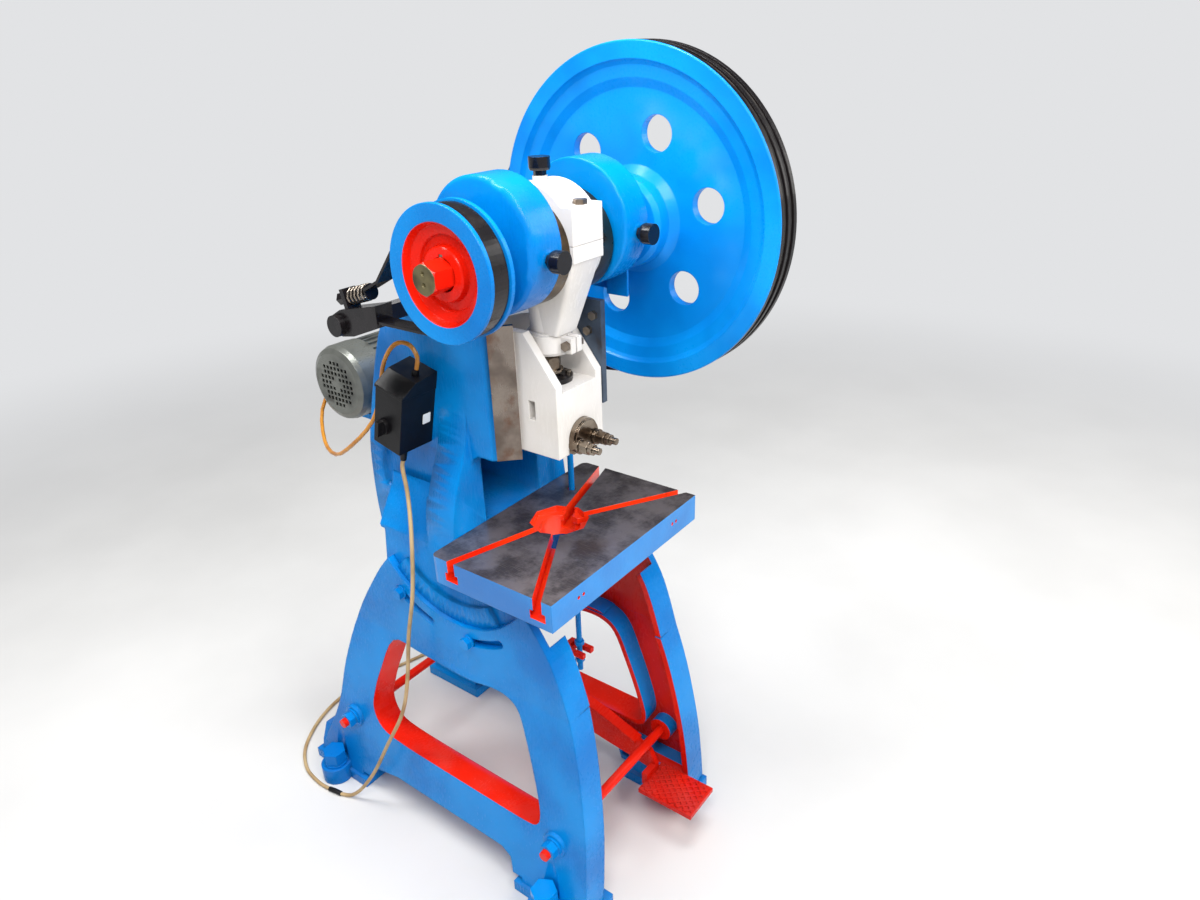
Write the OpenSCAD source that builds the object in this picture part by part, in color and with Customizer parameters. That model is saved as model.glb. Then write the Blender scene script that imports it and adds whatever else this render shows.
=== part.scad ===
// Inclinable eccentric press on a cast stand, with flywheel, drum brake and foot pedal.
// Origin: where the centre line of the ram meets the floor. +X is the flywheel side,
// -Y is the operator's side, +Z is up. All lengths in millimetres.

/* [Table] */
// Height of the table top above the floor
table_z = 740; // [734:1:746]
// Width of the table
table_w = 440; // [420:2:460]
// Distance from the ram centre line to the front edge of the table
table_front = 160; // [150:1:170]
// Distance from the ram centre line to the rear end of the table
table_back = 112; // [108:1:114]
// Thickness of the table
table_t = 53; // [48:1:58]
// Width of the T-slot mouths
tslot_w = 16; // [12:1:17]
// Radius of the die hole through the table
die_r = 38; // [37:1:42]

/* [Stand] */
// Half width over the upper part of the two legs
leg_x = 176; // [174:1:180]
// Thickness of the leg web
web_t = 16; // [12:1:18]
// Depth of the leg flanges, measured from the outer face
flange_d = 58; // [50:1:64]
// Thickness of the leg flanges
flange_t = 14; // [10:1:16]
// Outward lean of the lower legs in degrees
splay = 5.7; // [4:0.1:6.5]
// Radius of the tie rods
rod_r = 10; // [8:0.5:12]
// Height of the front tie rod
front_rod_z = 171; // [165:1:180]
// Height of the rear tie rod
rear_rod_z = 186; // [180:1:195]

/* [Swivel] */
// Height of the swivel centre
pivot_z = 776; // [770:1:780]
// Radius of the round seat that carries the body
cradle_r = 213; // [210:1:216]
// Radius on which the swivel bolts stand
slot_r = 243; // [241:1:246]
// Radius of a swivel bolt
tilt_bolt_r = 7; // [6:0.5:8]

/* [Crankshaft] */
// Height of the crankshaft axis
crank_z = 1245; // [1240:1:1250]
// Throw of the eccentric, half the stroke
throw = 12.5; // [11:0.5:13]
// Radius of the main journals
journal_r = 30; // [26:1:32]
// Radius of the eccentric
ecc_r = 62; // [58:1:64]
// Radius of the crank discs beside the eccentric
disc_r = 84; // [80:1:86]
// Radius of the bearing barrels
barrel_r = 105; // [100:1:108]
// Outer end of the bearing barrels
barrel_x = 150; // [148:1:152]
// Radius of the brake drum
drum_r = 101; // [95:1:106]
// Width of the brake drum
drum_w = 50; // [46:1:54]

/* [Flywheel] */
// Radius of the flywheel rim
fly_r = 296; // [290:1:300]
// Width of the flywheel rim
rim_w = 62; // [60:1:66]
// Radius of the lightening holes
light_r = 31; // [26:1:34]
// Radius on which the lightening holes lie
light_c = 155; // [145:1:170]
// Radius of the hub
hub_r = 80; // [72:1:84]
// Radius of the motor pulley
pulley_r = 38; // [36:1:42]

/* [Connecting rod] */
// Distance from the eccentric centre to the ball centre
rod_len = 257; // [255:0.5:259]
// Outer radius of the strap
strap_r = 90; // [86:1:92]
// Half width of the strap
strap_x = 38; // [36:0.5:39]
// Radius of the ball
ball_r = 16; // [14:0.5:17]
// Radius of the clamp collar
collar_r = 39; // [36:0.5:40]

/* [Ram] */
// Half width of the ram
ram_x = 62; // [60:0.5:63]
// Distance from the centre line to the front face of the ram
ram_front = 60; // [58:1:62]
// Height of the ram
ram_h = 212; // [210:1:214]
// Height of the ball's centre above the ram's lower face
ball_h = 97.5; // [96.5:0.5:99]
// Radius of the tool bore
tool_r = 15; // [12:0.5:17]

/* [Pedal] */
// Width of the tread
pad_w = 92; // [84:2:96]
// Length of the tread
pad_l = 130; // [120:2:136]

/* [Hidden] */
$fn = 48;

blue = [0.0, 0.55, 0.85];
red = [0.85, 0.14, 0.08];
white = [0.93, 0.91, 0.89];
steel = [0.55, 0.52, 0.48];
dark = [0.16, 0.15, 0.15];
grey = [0.5, 0.51, 0.52];

// running clearance of turning fits, and gap between parts that slide past each other
fit = 0.05;
gap = 0.3;

pivot_y = 125;
splay_z = 458;
front_rod_y = -118;
rear_rod_y = 462;
slot_w = 2 * tilt_bolt_r + 3;
front_slot = [-28.5, -7];
rear_slot = [15.5, 37];
leg_inner = leg_x - web_t;
side_x = leg_inner - 0.5;
foot_h = 62;
foot_x = leg_x + 68;
rod_face = leg_x + 34;
rod_end = rod_face + 30;
throat_y = 114;
col_z0 = 885;
col_z1 = 1130;
cheek_x = 100;
barrel_z = crank_z + 22;
under_z = table_z - table_t;
tilt_bolt_angles = [-8.5, 35.5];
vee_y = 44;
motor_y = 505;
motor_z = 930;
motor_r = 78;
motor_x0 = -75;
foot_z = motor_z - motor_r - 8;
shaft_r = 11;

// shared shapes

// extrudes a side view, drawn as [y, z], from x0 over a thickness t
module side(x0, t) {
    translate([x0, 0, 0]) rotate([90, 0, 90]) linear_extrude(t) children();
}

// cylinder along X from x0 over a length l
module xcyl(r, x0, l, y = 0, z = 0, fn = 64) {
    translate([x0, y, z]) rotate([0, 90, 0]) cylinder(r = r, h = l, $fn = fn);
}

// cylinder along -Y from y0 over a length l
module ycyl(r, x, y0, z, l, fn = 48) {
    translate([x, y0, z]) rotate([90, 0, 0]) cylinder(r = r, h = l, $fn = fn);
}

module zcyl(r, x, y, z, h, fn = 48) {
    translate([x, y, z]) cylinder(r = r, h = h, $fn = fn);
}

// turned body about the X axis from a profile of [radius, x] points
module xturn(pts, y = 0, z = 0) {
    translate([0, y, z]) rotate([0, 90, 0]) rotate_extrude($fn = 96) polygon(pts);
}

// point on a Catmull-Rom curve through p1 and p2
function crom(p0, p1, p2, p3, t) = 0.5 * (2 * p1 + (p2 - p0) * t
    + (2 * p0 - 5 * p1 + 4 * p2 - p3) * t * t + (3 * p1 - p0 - 3 * p2 + p3) * t * t * t);

// closed smooth outline through a list of points
function smooth(p, n = 4) = [for (i = [0 : len(p) - 1]) for (k = [0 : n - 1])
    crom(p[(i + len(p) - 1) % len(p)], p[i], p[(i + 1) % len(p)], p[(i + 2) % len(p)], k / n)];

// open smooth curve through a list of points
function curve(p, n = 4) = concat([for (i = [0 : len(p) - 2]) for (k = [0 : n - 1])
    crom(p[max(i - 1, 0)], p[i], p[i + 1], p[min(i + 2, len(p) - 1)], k / n)], [p[len(p) - 1]]);

// outline moved inward by d, for an outline that runs counter-clockwise
function inset(p, d) = [for (i = [0 : len(p) - 1])
    let (a = p[(i + len(p) - 1) % len(p)], b = p[(i + 1) % len(p)], t = (b - a) / norm(b - a))
    p[i] + d * [-t[1], t[0]]];

function polar(r, a) = [pivot_y + r * sin(a), pivot_z - r * cos(a)];

// wedge about the swivel centre between two angles from straight down
module wedge(a0, a1, r = 600) {
    polygon(concat([[pivot_y, pivot_z]], [for (i = [0 : 6]) polar(r, a0 + (a1 - a0) * i / 6)]));
}

// points of an arc about a centre, from angle a0 to a1 in n steps
function arc(c, r, a0, a1, n) = [for (i = [0 : n]) let (a = a0 + (a1 - a0) * i / n) c + r * [cos(a), sin(a)]];

// curved slot round the swivel centre between two angles from straight down
module arc_slot(lim, w) {
    a = [lim[0] - 90, lim[1] - 90];
    c = [pivot_y, pivot_z];
    polygon(concat(arc(c, slot_r + w / 2, a[0], a[1], 8), arc(polar(slot_r, lim[1]), w / 2, a[1] + 15, a[1] + 165, 10),
        arc(c, slot_r - w / 2, a[1], a[0], 8), arc(polar(slot_r, lim[0]), w / 2, a[0] + 195, a[0] + 345, 10)));
}

// stand

front_edge = [[-67, 640], [-110, 571], [-140, 483], [-168, 364], [-188, 214], [-194, 82]];
rear_edge = [[584, 62], [520, 190], [480, 325], [420, 467], [335, 596], [288, 652]];
leg_outline = concat(
    [for (p = curve(rear_edge, 4)) p],
    [[272, 660], [250, 665], [0, 665], [-40, 652]],
    [for (p = curve(front_edge, 4)) p],
    [[-194, 30], [-10, 30], [-4, 66], [20, 80], [330, 80], [400, 66], [430, 30], [598, 30]]);
leg_opening = smooth([[315, 441], [242, 445], [160, 441], [94, 441], [40, 450], [0, 447],
    [-28, 425], [-50, 358], [-70, 280], [-80, 220], [-72, 190], [-40, 182], [60, 181],
    [200, 181], [310, 183], [370, 194], [396, 235], [385, 290], [362, 350]], 4);

module leg_web() {
    difference() {
        polygon(leg_outline);
        polygon(leg_opening);
        translate([pivot_y, pivot_z]) circle(r = cradle_r, $fn = 128);
    }
}

module leg_rim() {
    difference() {
        polygon(leg_outline);
        polygon(inset(leg_outline, flange_t));
        translate([pivot_y, pivot_z]) circle(r = slot_r + 45, $fn = 96);
    }
    difference() {
        polygon(inset(leg_opening, -12));
        polygon(leg_opening);
    }
}

module leg_raw() {
    side(-leg_x, web_t) leg_web();
    side(-leg_x, flange_d) difference() {
        leg_rim();
        translate([pivot_y, pivot_z]) circle(r = slot_r + 28, $fn = 96);
    }
}

// one foot pad with its bolt boss, from y0 to y1
module foot(y0, y1) {
    difference() {
        union() {
            translate([-leg_x - 52, y0, 0]) cube([90, y1 - y0, 24]);
            translate([0, (y0 + y1) / 2, 0]) rotate([90, 0, 0]) linear_extrude(y1 - y0 - 30, center = true)
                polygon([[-leg_x - 46, 20], [-leg_x - 40, 52], [-leg_x - 24, 92], [-leg_x + 10, 92],
                    [-leg_x + 28, 20]]);
            zcyl(34, -foot_x + 6, (y0 + y1) / 2, 0, foot_h - 22);
        }
        zcyl(12.5, -foot_x + 6, (y0 + y1) / 2, -1, 90, 32);
    }
}

module leg() {
    difference() {
        union() {
            intersection() {
                leg_raw();
                translate([-leg_x - 10, -400, splay_z]) cube([200, 1200, 400]);
            }
            translate([-leg_x, 0, splay_z]) rotate([0, splay, 0]) translate([leg_x, 0, -splay_z])
                intersection() {
                    leg_raw();
                    translate([-leg_x - 10, -400, 10]) cube([200, 1200, splay_z - 10 + 2]);
                }
            foot(-200, -20);
            foot(436, 612);
            for (p = [[front_rod_y, front_rod_z], [rear_rod_y, rear_rod_z]])
                xcyl(26, -rod_face, 50, p[0], p[1]);
            // pads round the swivel slots
            side(-leg_x, web_t + 0) intersection() {
                difference() {
                    translate([pivot_y, pivot_z]) circle(r = slot_r + 20, $fn = 96);
                    translate([pivot_y, pivot_z]) circle(r = cradle_r, $fn = 128);
                }
                wedge(-40, 48);
            }
        }
        for (lim = [front_slot, rear_slot]) side(-leg_x - 5, 60) arc_slot(lim, slot_w);
        for (p = [[front_rod_y, front_rod_z], [rear_rod_y, rear_rod_z]])
            xcyl(rod_r + fit, -rod_face - 10, 80, p[0], p[1], 48);
        translate([-400, -400, -100]) cube([800, 1200, 100]);
        for (y = [-110, 524]) zcyl(29, -foot_x + 6, y, foot_h - 22, 80);
    }
}

module left_leg() {
    color(blue) leg();
}

module right_leg() {
    color(blue) mirror([1, 0, 0]) leg();
}

module front_tie_rod() {
    color(red) xcyl(rod_r, -rod_end, 2 * rod_end, front_rod_y, front_rod_z, 48);
}

module rear_tie_rod() {
    color(red) xcyl(rod_r, -rod_end, 2 * rod_end, rear_rod_y, rear_rod_z, 48);
}

module hexnut(af, h, r) {
    difference() {
        cylinder(r = af / sqrt(3), h = h, $fn = 6);
        if (r > 0) translate([0, 0, -1]) cylinder(r = r, h = h + 2, $fn = 32);
    }
}

module tie_rod_nuts() {
    color(blue) for (s = [-1, 1]) for (p = [[front_rod_y, front_rod_z], [rear_rod_y, rear_rod_z]])
        translate([s * rod_face, p[0], p[1]]) rotate([0, s * 90, 0]) difference() {
            union() {
                cylinder(r = 20, h = 4, $fn = 48);
                translate([0, 0, 4]) cylinder(r = 30 / sqrt(3), h = 16, $fn = 6);
            }
            translate([0, 0, -1]) cylinder(r = rod_r + fit, h = 40, $fn = 48);
        }
}

module anchor_bolts() {
    color(blue) for (s = [-1, 1]) for (y = [-110, 524])
        translate([s * (foot_x - 6), y, 0]) {
            translate([0, 0, foot_h - 22]) cylinder(r = 27, h = 5, $fn = 48);
            translate([0, 0, foot_h - 17]) cylinder(r = 46 / sqrt(3), h = 30, $fn = 6);
            translate([0, 0, 1]) cylinder(r = 12, h = foot_h, $fn = 32);
        }
}

// body

wall = 24;
body_side = concat(
    [[throat_y, table_z - 60], [throat_y, 862], [108, 876], [94, col_z0], [66, col_z0]],
    [[66, col_z1], [70, 1168], [30, 1210], [0, 1290], [70, 1330], [100, 1300]],
    curve([[106, 1256], [140, 1190], [200, 1150], [285, 1118], [313, 1085], [340, 1020],
        [372, 920], [392, 844], [398, 775], [398, 696], [388, 628], [374, 575]], 3),
    [[352, 556], [300, 560], [200, 600]]);

// contour of the flared pillars, seen from the front
flare = [[-cheek_x, 966], [-cheek_x - 4, 930], [-cheek_x - 12, 894], [-cheek_x - 26, 860],
    [-cheek_x - 43, 820], [-cheek_x - 54, 780], [-side_x, table_z - 0.5]];

module both_sides() {
    children();
    mirror([1, 0, 0]) children();
}

// front view, extruded from y0 to y1
module front(y0, y1) {
    translate([0, y1, 0]) rotate([90, 0, 0]) linear_extrude(y1 - y0) children();
}

module swivel_disc(r) {
    translate([pivot_y, pivot_z]) circle(r = r, $fn = 128);
}

// saddle that joins the body to the two swivel cheeks
module saddle() {
    intersection() {
        side(-side_x, 2 * side_x) intersection() {
            swivel_disc(cradle_r - 4);
            polygon([[throat_y, 600], [throat_y, table_z + 60], [350, table_z + 60], [350, 560], [200, 560]]);
        }
        union() {
            front(throat_y - 10, 186) polygon(concat(curve(flare, 3), [[-side_x, 500], [0, 500], [0, 966]]));
            front(185, 400) polygon([[-cheek_x, 800], [-cheek_x - 8, 768], [-cheek_x - 34, 734],
                [-side_x, 706], [-side_x, 500], [0, 500], [0, 800]]);
            mirror([1, 0, 0]) {
                front(throat_y - 10, 186) polygon(concat(curve(flare, 3), [[-side_x, 500], [0, 500], [0, 966]]));
                front(185, 400) polygon([[-cheek_x, 800], [-cheek_x - 8, 768], [-cheek_x - 34, 734],
                    [-side_x, 706], [-side_x, 500], [0, 500], [0, 800]]);
            }
        }
    }
}

// space between the cheeks, open to the front above the table
module body_hollow() {
    w = cheek_x - wall;
    side(-w, 2 * w) polygon(concat([[throat_y - 30, table_z - 2], [throat_y - 30, 868], [throat_y + 14, 876],
        [throat_y + 30, 900], [throat_y + 34, 1100], [236, 1098]],
        curve([[288, 1070], [315, 1000], [350, 900], [368, 840], [374, 775], [373, table_z - 2]], 3)));
    // crank space, ram channel and the room under the table
    translate([-80, -200, 1140]) cube([160, 200 + throat_y, 300]);
    translate([-ram_x - 0.5, -100, 820]) cube([2 * ram_x + 1, 206.5, 330]);
    translate([-side_x + wall + 2, -100, 500]) cube([2 * (side_x - wall - 2), 154 + 100, under_z - 500]);
    translate([-118, 150, 520]) cube([236, 170, 186]);
    // seat of the table
    translate([-300, -300, under_z]) cube([600, 300 + throat_y - 2 + 0.3, table_z - under_z]);
}

// recess in the outer side of each cheek, between the pillar and the rear rib
module cheek_recess() {
    translate([-cheek_x - 1, 0, 0]) side(0, 11) polygon(concat([[188, 806], [188, 862], [198, 874], [326, 874], [342, 866]],
        curve([[350, 848], [360, 818], [364, 790], [361, 756]], 3), [[330, 752], [240, 770]]));
}

// guide column of one side, with the rear flank of its vee
module guide_column() {
    translate([0, 0, col_z0]) linear_extrude(col_z1 - col_z0) polygon([[-ram_x - 0.4, vee_y + 22.4],
        [-ram_x - 22.2, vee_y + 0.6], [-cheek_x, vee_y + 16.4], [-cheek_x, throat_y + 4], [-ram_x - 0.4, throat_y + 4]]);
}

// swivel cheek of one side, inside the leg, and the ring that bears in its cradle
module swivel_cheek() {
    side(-side_x, wall) intersection() {
        swivel_disc(slot_r + 22);
        polygon([[-42, 560], [120, 480], [380, 500], [385, under_z], [-42, under_z]]);
    }
    side(-leg_x + 8, leg_x - 8 - side_x + 4) intersection() {
        difference() {
            swivel_disc(cradle_r - gap);
            swivel_disc(cradle_r - 40);
        }
        wedge(-30, 46);
    }
}

module press_frame() {
    color(blue) difference() {
        union() {
            difference() {
                union() {
                    side(-cheek_x, 2 * cheek_x) polygon(body_side);
                    saddle();
                    both_sides() front(throat_y, 182) polygon(concat(curve(flare, 3),
                        [[-cheek_x + 24, table_z - 1], [-cheek_x + 24, 966]]));
                    // seat of the motor bracket
                    translate([-64, 380, foot_z - 164]) cube([128, 24, 172]);
                }
                body_hollow();
                both_sides() cheek_recess();
            }
            both_sides() {
                barrel();
                guide_column();
                swivel_cheek();
            }
        }
        xcyl(journal_r + 8, -200, 400, 0, crank_z);
        both_sides() for (a = tilt_bolt_angles) translate([-side_x - 4, polar(slot_r, a)[0], polar(slot_r, a)[1]])
            rotate([0, 90, 0]) cylinder(r = tilt_bolt_r + fit, h = 60, $fn = 32);
    }
}

module barrel() {
    intersection() {
        xturn([[0, -80], [barrel_r - 3, -80], [barrel_r, -84], [barrel_r, -barrel_x + 8],
            [barrel_r - 8, -barrel_x], [0, -barrel_x]], 0, barrel_z);
        translate([-200, -200, 1100]) cube([400, 400, 400]);
    }
    // boss of the grease cup
    ycyl(14, -cup_x, -80, cup_z, barrel_r + 2 - 80);
}

module main_bushes() {
    color([0.6, 0.45, 0.2]) for (s = [-1, 1]) difference() {
        xcyl(journal_r + 8 - 0.01, s < 0 ? -barrel_x - 2 : 80, barrel_x - 78, 0, crank_z);
        xcyl(journal_r + fit, -300, 600, 0, crank_z);
    }
}

// table

// T-slot from the die hole toward [x, y]
module tslot(p) {
    a = atan2(p[1], p[0]);
    translate([0, 0, table_z]) rotate([0, 0, a]) {
        translate([30, -tslot_w / 2, -26]) cube([400, tslot_w, 40]);
        translate([30, -tslot_w / 2 - 6, -40]) cube([400, tslot_w + 12, 16]);
    }
}

module table_plate() {
    color(dark) difference() {
        translate([0, 0, under_z]) linear_extrude(table_t) polygon(concat(
            [[-table_w / 2, -table_front], [table_w / 2, -table_front]],
            arc([table_w / 2 - 13, table_back - 13], 13, 0, 90, 5), arc([13 - table_w / 2, table_back - 13], 13, 90, 180, 5)));
        zcyl(die_r, 0, 0, under_z - 5, table_t + 10, 64);
        zcyl(die_r + 18, 0, 0, table_z - 12, 20, 8);
        zcyl(pull_r + 2, pull_x, pull_y, under_z - 5, table_t + 10, 32);
        for (p = [[-220, 64], [220, 64], [-220, -130], [220, -130]]) tslot(p);
        for (x = [-150, -137, 137, 150]) ycyl(3.3, x, -table_front + 15, table_z - 24, 20, 24);
    }
}

// guides

gib_z0 = col_z0 + 3;
gib_z1 = col_z1 - 2;

module gib_section() {
    polygon([[-ram_x - 1, vee_y - 21], [-cheek_x + 6, vee_y + 10], [-cheek_x, vee_y + 4], [-ram_x - 7, vee_y - 27]]);
}

module left_gib() {
    color(steel) translate([0, 0, gib_z0]) linear_extrude(gib_z1 - gib_z0) gib_section();
}

module right_gib() {
    color([0.3, 0.35, 0.42]) {
        translate([0, 0, gib_z0]) linear_extrude(gib_z1 - gib_z0) {
            mirror([1, 0]) gib_section();
            polygon([[ram_x + 1, vee_y - 21], [ram_x + 7, vee_y - 27], [ram_x + 13, vee_y - 26],
                [ram_x + 13, vee_y - 40], [ram_x + 1, vee_y - 40]]);
        }
        translate([ram_x + 1, -62, 965]) cube([12, vee_y + 62 - 36, 183]);
    }
}

module gib_bolts() {
    color(steel) for (p = [[-48, 1122], [-36, 1094]]) translate([ram_x + 1, p[0], p[1]]) rotate([0, -90, 0])
        cylinder(r = 14 / sqrt(3), h = 8, $fn = 6);
}

module tilt_bolts() {
    color(blue) for (s = [-1, 1]) for (a = tilt_bolt_angles)
        translate([s * leg_x, polar(slot_r, a)[0], polar(slot_r, a)[1]]) rotate([0, s * 90, 0]) {
            translate([0, 0, -leg_x + side_x - 26]) cylinder(r = tilt_bolt_r, h = leg_x - side_x + 26 + 12, $fn = 32);
            translate([0, 0, gap]) cylinder(r = 14, h = 3, $fn = 48);
            translate([0, 0, gap + 3]) cylinder(r = 22 / sqrt(3), h = 11, $fn = 6);
        }
}

// electrics

box_at = [229, 950];
box_tilt = 14;
box_d = 66;
box_h = 112;
box_x = [-178, -cheek_x];
knob_r = 15;

// places a shape drawn with its origin at the centre of the box, on the side of the left cheek
module on_box() {
    translate([0, box_at[0], box_at[1]]) rotate([box_tilt, 0, 0]) children();
}

module switch_box() {
    color(dark) on_box() difference() {
        translate([box_x[0], -box_d / 2, -box_h / 2]) cube([box_x[1] - box_x[0], box_d, box_h]);
        zcyl(5, -150, -14, -box_h / 2 - 5, 25, 24);
        xcyl(6, box_x[0] - 5, 25, 8, -14, 24);
    }
}

module switch_lid() {
    color(dark) on_box() difference() {
        translate([0, box_d / 2 + 1.5, 0]) rotate([90, 0, 0]) linear_extrude(box_d + 3)
            polygon([[box_x[0] - 1.5, box_h / 2], [box_x[1], box_h / 2], [box_x[1], box_h / 2 + 34],
                [box_x[0] + 28, box_h / 2 + 27], [box_x[0] - 1.5, box_h / 2 + 5]]);
        zcyl(6.5, -132, -14, box_h / 2 + 5, 60, 24);
    }
}

module switch_knob() {
    color(dark) on_box() {
        xcyl(knob_r, box_x[0] - 7, 6.7, 8, -14);
        xcyl(6 - fit, box_x[0] - 2, 16, 8, -14, 32);
        translate([box_x[0] - 18, 3.5, -14 - knob_r + 1]) cube([12, 9, 2 * knob_r - 2]);
    }
}

module box_glands() {
    color(dark) on_box() {
        difference() {
            union() {
                zcyl(8.5, -150, -14, -box_h / 2 - 9, 9, 32);
                translate([-150, -14, -box_h / 2 - 30]) cylinder(r1 = 5.8, r2 = 7.4, h = 22, $fn = 32);
                zcyl(4.9, -150, -14, -box_h / 2, 10, 32);
            }
            zcyl(cord_r + gap, -150, -14, -box_h / 2 - 31, 27, 32);
        }
        zcyl(6.4, -132, -14, box_h / 2 + 5.2, 34, 32);
    }
}

module motor_body() {
    color(grey) difference() {
        union() {
            xcyl(motor_r - 8, -18, 208, motor_y, motor_z, 96);
            xcyl(motor_r - 1, 178, 14, motor_y, motor_z, 96);
            xcyl(motor_r - 1, -18, 12, motor_y, motor_z, 96);
            xcyl(30, 190, 16, motor_y, motor_z);
            for (a = [0 : 12 : 359]) if (a > 290 || a < 250) translate([-6, motor_y, motor_z]) rotate([a, 0, 0])
                translate([0, motor_r - 12, -1.5]) cube([184, 9, 3]);
            for (x = [12, 132]) translate([x, motor_y - 62, foot_z]) cube([34, 124, 14]);
            translate([12, motor_y - 30, foot_z]) cube([154, 60, 30]);
        }
        xcyl(shaft_r + fit, -80, 400, motor_y, motor_z, 48);
        for (x = [29, 149]) for (y = [-52, 52]) zcyl(5, x, motor_y + y, foot_z - 1, 30, 24);
    }
}

module fan_cover() {
    color(grey) difference() {
        union() {
            xturn([[0, motor_x0], [motor_r - 14, motor_x0], [motor_r - 4, motor_x0 + 5], [motor_r, motor_x0 + 16],
                [motor_r, -18.3], [motor_r - 2, -18.3], [motor_r - 2, motor_x0 + 18],
                [motor_r - 6, motor_x0 + 7], [motor_r - 15, motor_x0 + 2.5], [0, motor_x0 + 2.5]], motor_y, motor_z);
        }
        for (i = [-4 : 4]) for (j = [-4 : 4]) if (i * i + j * j < 20 && i * i + j * j > 1)
            translate([motor_x0 - 5, motor_y + i * 11 - 3.6, motor_z + j * 11 - 3.6]) cube([20, 7.2, 7.2]);
    }
}

module terminal_box() {
    color(grey) difference() {
        union() {
            translate([50, motor_y + motor_r - 3, motor_z - 30]) cube([70, 34, 60]);
            xcyl(8, 38, 12, motor_y + motor_r + 14, motor_z - 8, 32);
        }
        xcyl(lead_r + fit, 30, 14, motor_y + motor_r + 14, motor_z - 8, 32);
    }
}

module motor_bracket() {
    color(blue) difference() {
        union() {
            translate([-60, 404, foot_z - 160]) cube([120, 12, 160]);
            translate([-60, 404, foot_z - 12]) cube([240, motor_y + 80 - 404, 12]);
            for (x = [-60, 48]) side(x, 12) polygon([[410, foot_z - 150], [410, foot_z - 5],
                [560, foot_z - 5], [560, foot_z - 14]]);
        }
        for (x = [29, 149]) for (y = [-52, 52]) zcyl(5, x, motor_y + y, foot_z - 20, 30, 24);
    }
}

// frames along a path for a swept tube
function tangents(p) = [for (i = [0 : len(p) - 1])
    let (d = p[min(i + 1, len(p) - 1)] - p[max(i - 1, 0)]) d / norm(d)];
function across(n, t) = let (m = n - (n * t) * t) m / norm(m);
function turns(t, i, n) = i == len(t) ? [] : let (m = across(n, t[i])) concat([m], turns(t, i + 1, m));

module tube(pts, r, k = 4, sides = 8) {
    p = curve(pts, k);
    t = tangents(p);
    n = turns(t, 0, abs(t[0][0]) < 0.9 ? [1, 0, 0] : [0, 1, 0]);
    v = [for (i = [0 : len(p) - 1]) for (j = [0 : sides - 1])
        let (b = cross(t[i], n[i]), a = 360 * j / sides) p[i] + r * (cos(a) * n[i] + sin(a) * b)];
    faces = concat([[for (j = [sides - 1 : -1 : 0]) j]],
        [for (i = [0 : len(p) - 2]) for (j = [0 : sides - 1])
            [i * sides + j, i * sides + (j + 1) % sides, (i + 1) * sides + (j + 1) % sides, (i + 1) * sides + j]],
        [[for (j = [0 : sides - 1]) (len(p) - 1) * sides + j]]);
    polyhedron(v, faces);
}

lead_r = 4;
lead_route = [[-132, 190, 1040], [-132, 184, 1062], [-134, 196, 1082], [-138, 220, 1084], [-142, 244, 1066],
    [-142, 268, 1030], [-142, 284, 980], [-150, 310, 920], [-158, 370, 862], [-150, 440, 820], [-110, 530, 812],
    [-60, 594, 850], [-10, 604, 900], [20, 601, 921], [38, 601, 922]];

module motor_lead() {
    color([0.72, 0.45, 0.15]) tube(lead_route, lead_r, 3);
}

// belt grooves, as rim points [radius, x], for a rim of radius r
belt_x = [262, 284];
function groove(r, x) = [[r, x - 7], [r - 13, x - 4.6], [r - 13, x + 4.6], [r, x + 7]];

module motor_pulley() {
    color(dark) {
        xturn(concat([[0, 250], [pulley_r, 250]], groove(pulley_r, belt_x[0]),
            groove(pulley_r, belt_x[1]), [[pulley_r, 296], [0, 296]]), motor_y, motor_z);
        xcyl(shaft_r, -62, 330, motor_y, motor_z, 48);
        xcyl(22, -62, 22, motor_y, motor_z);
        for (a = [0 : 60 : 359]) translate([-60, motor_y, motor_z]) rotate([a, 0, 0])
            translate([0, 15, -1.5]) cube([18, 48, 3]);
    }
}

// outline of a belt round the flywheel and the motor pulley, moved outward by d
function belt(d) = let (c = [motor_y, motor_z - crank_z], l = norm(c), a0 = atan2(c[1], c[0]),
    ra = fly_r - 13 + d, rb = pulley_r - 13 + d, a = acos((ra - rb) / l)) concat(
    [for (i = [0 : 40]) let (t = a0 + a + (360 - 2 * a) * i / 40) [0 + ra * cos(t), crank_z + ra * sin(t)]],
    [for (i = [0 : 12]) let (t = a0 - a + 2 * a * i / 12) [motor_y + rb * cos(t), motor_z + rb * sin(t)]]);

module v_belts() {
    color(dark) for (x = belt_x) side(x - 4.2, 8.4) difference() {
        polygon(belt(10.5));
        polygon(belt(1.6));
    }
}

// brake

drum_x0 = -232;
band_r0 = drum_r - 8 + gap;
band_t = 4.5;

module brake_drum() {
    color(blue) difference() {
        xturn([[20, drum_x0 + 8], [38, drum_x0 + 8], [40, drum_x0 + 10], [42, drum_x0 + 20], [54, drum_x0 + 22],
            [56, drum_x0 + 17], [62, drum_x0 + 15], [70, drum_x0 + 13], [74, drum_x0 + 1], [76, drum_x0],
            [drum_r - 1, drum_x0], [drum_r, drum_x0 + 1], [drum_r, drum_x0 + 7], [drum_r - 8, drum_x0 + 8],
            [drum_r - 8, drum_x0 + drum_w - 9], [drum_r, drum_x0 + drum_w - 8], [drum_r, drum_x0 + drum_w - 1],
            [drum_r - 1, drum_x0 + drum_w], [84, drum_x0 + drum_w], [80, drum_x0 + 34], [44, drum_x0 + 34],
            [42, drum_x0 + drum_w + 4], [20, drum_x0 + drum_w + 4]], 0, crank_z);
        xcyl(25 + 0.01, -300, 200, 0, crank_z);
        translate([drum_x0 - 10, -4, crank_z + 20]) cube([80, 8, 9]);
    }
}

module drum_key() {
    color(steel) translate([drum_x0 + 9, -3.9, crank_z + 21.1]) cube([42, 7.8, 7.8]);
}

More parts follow.
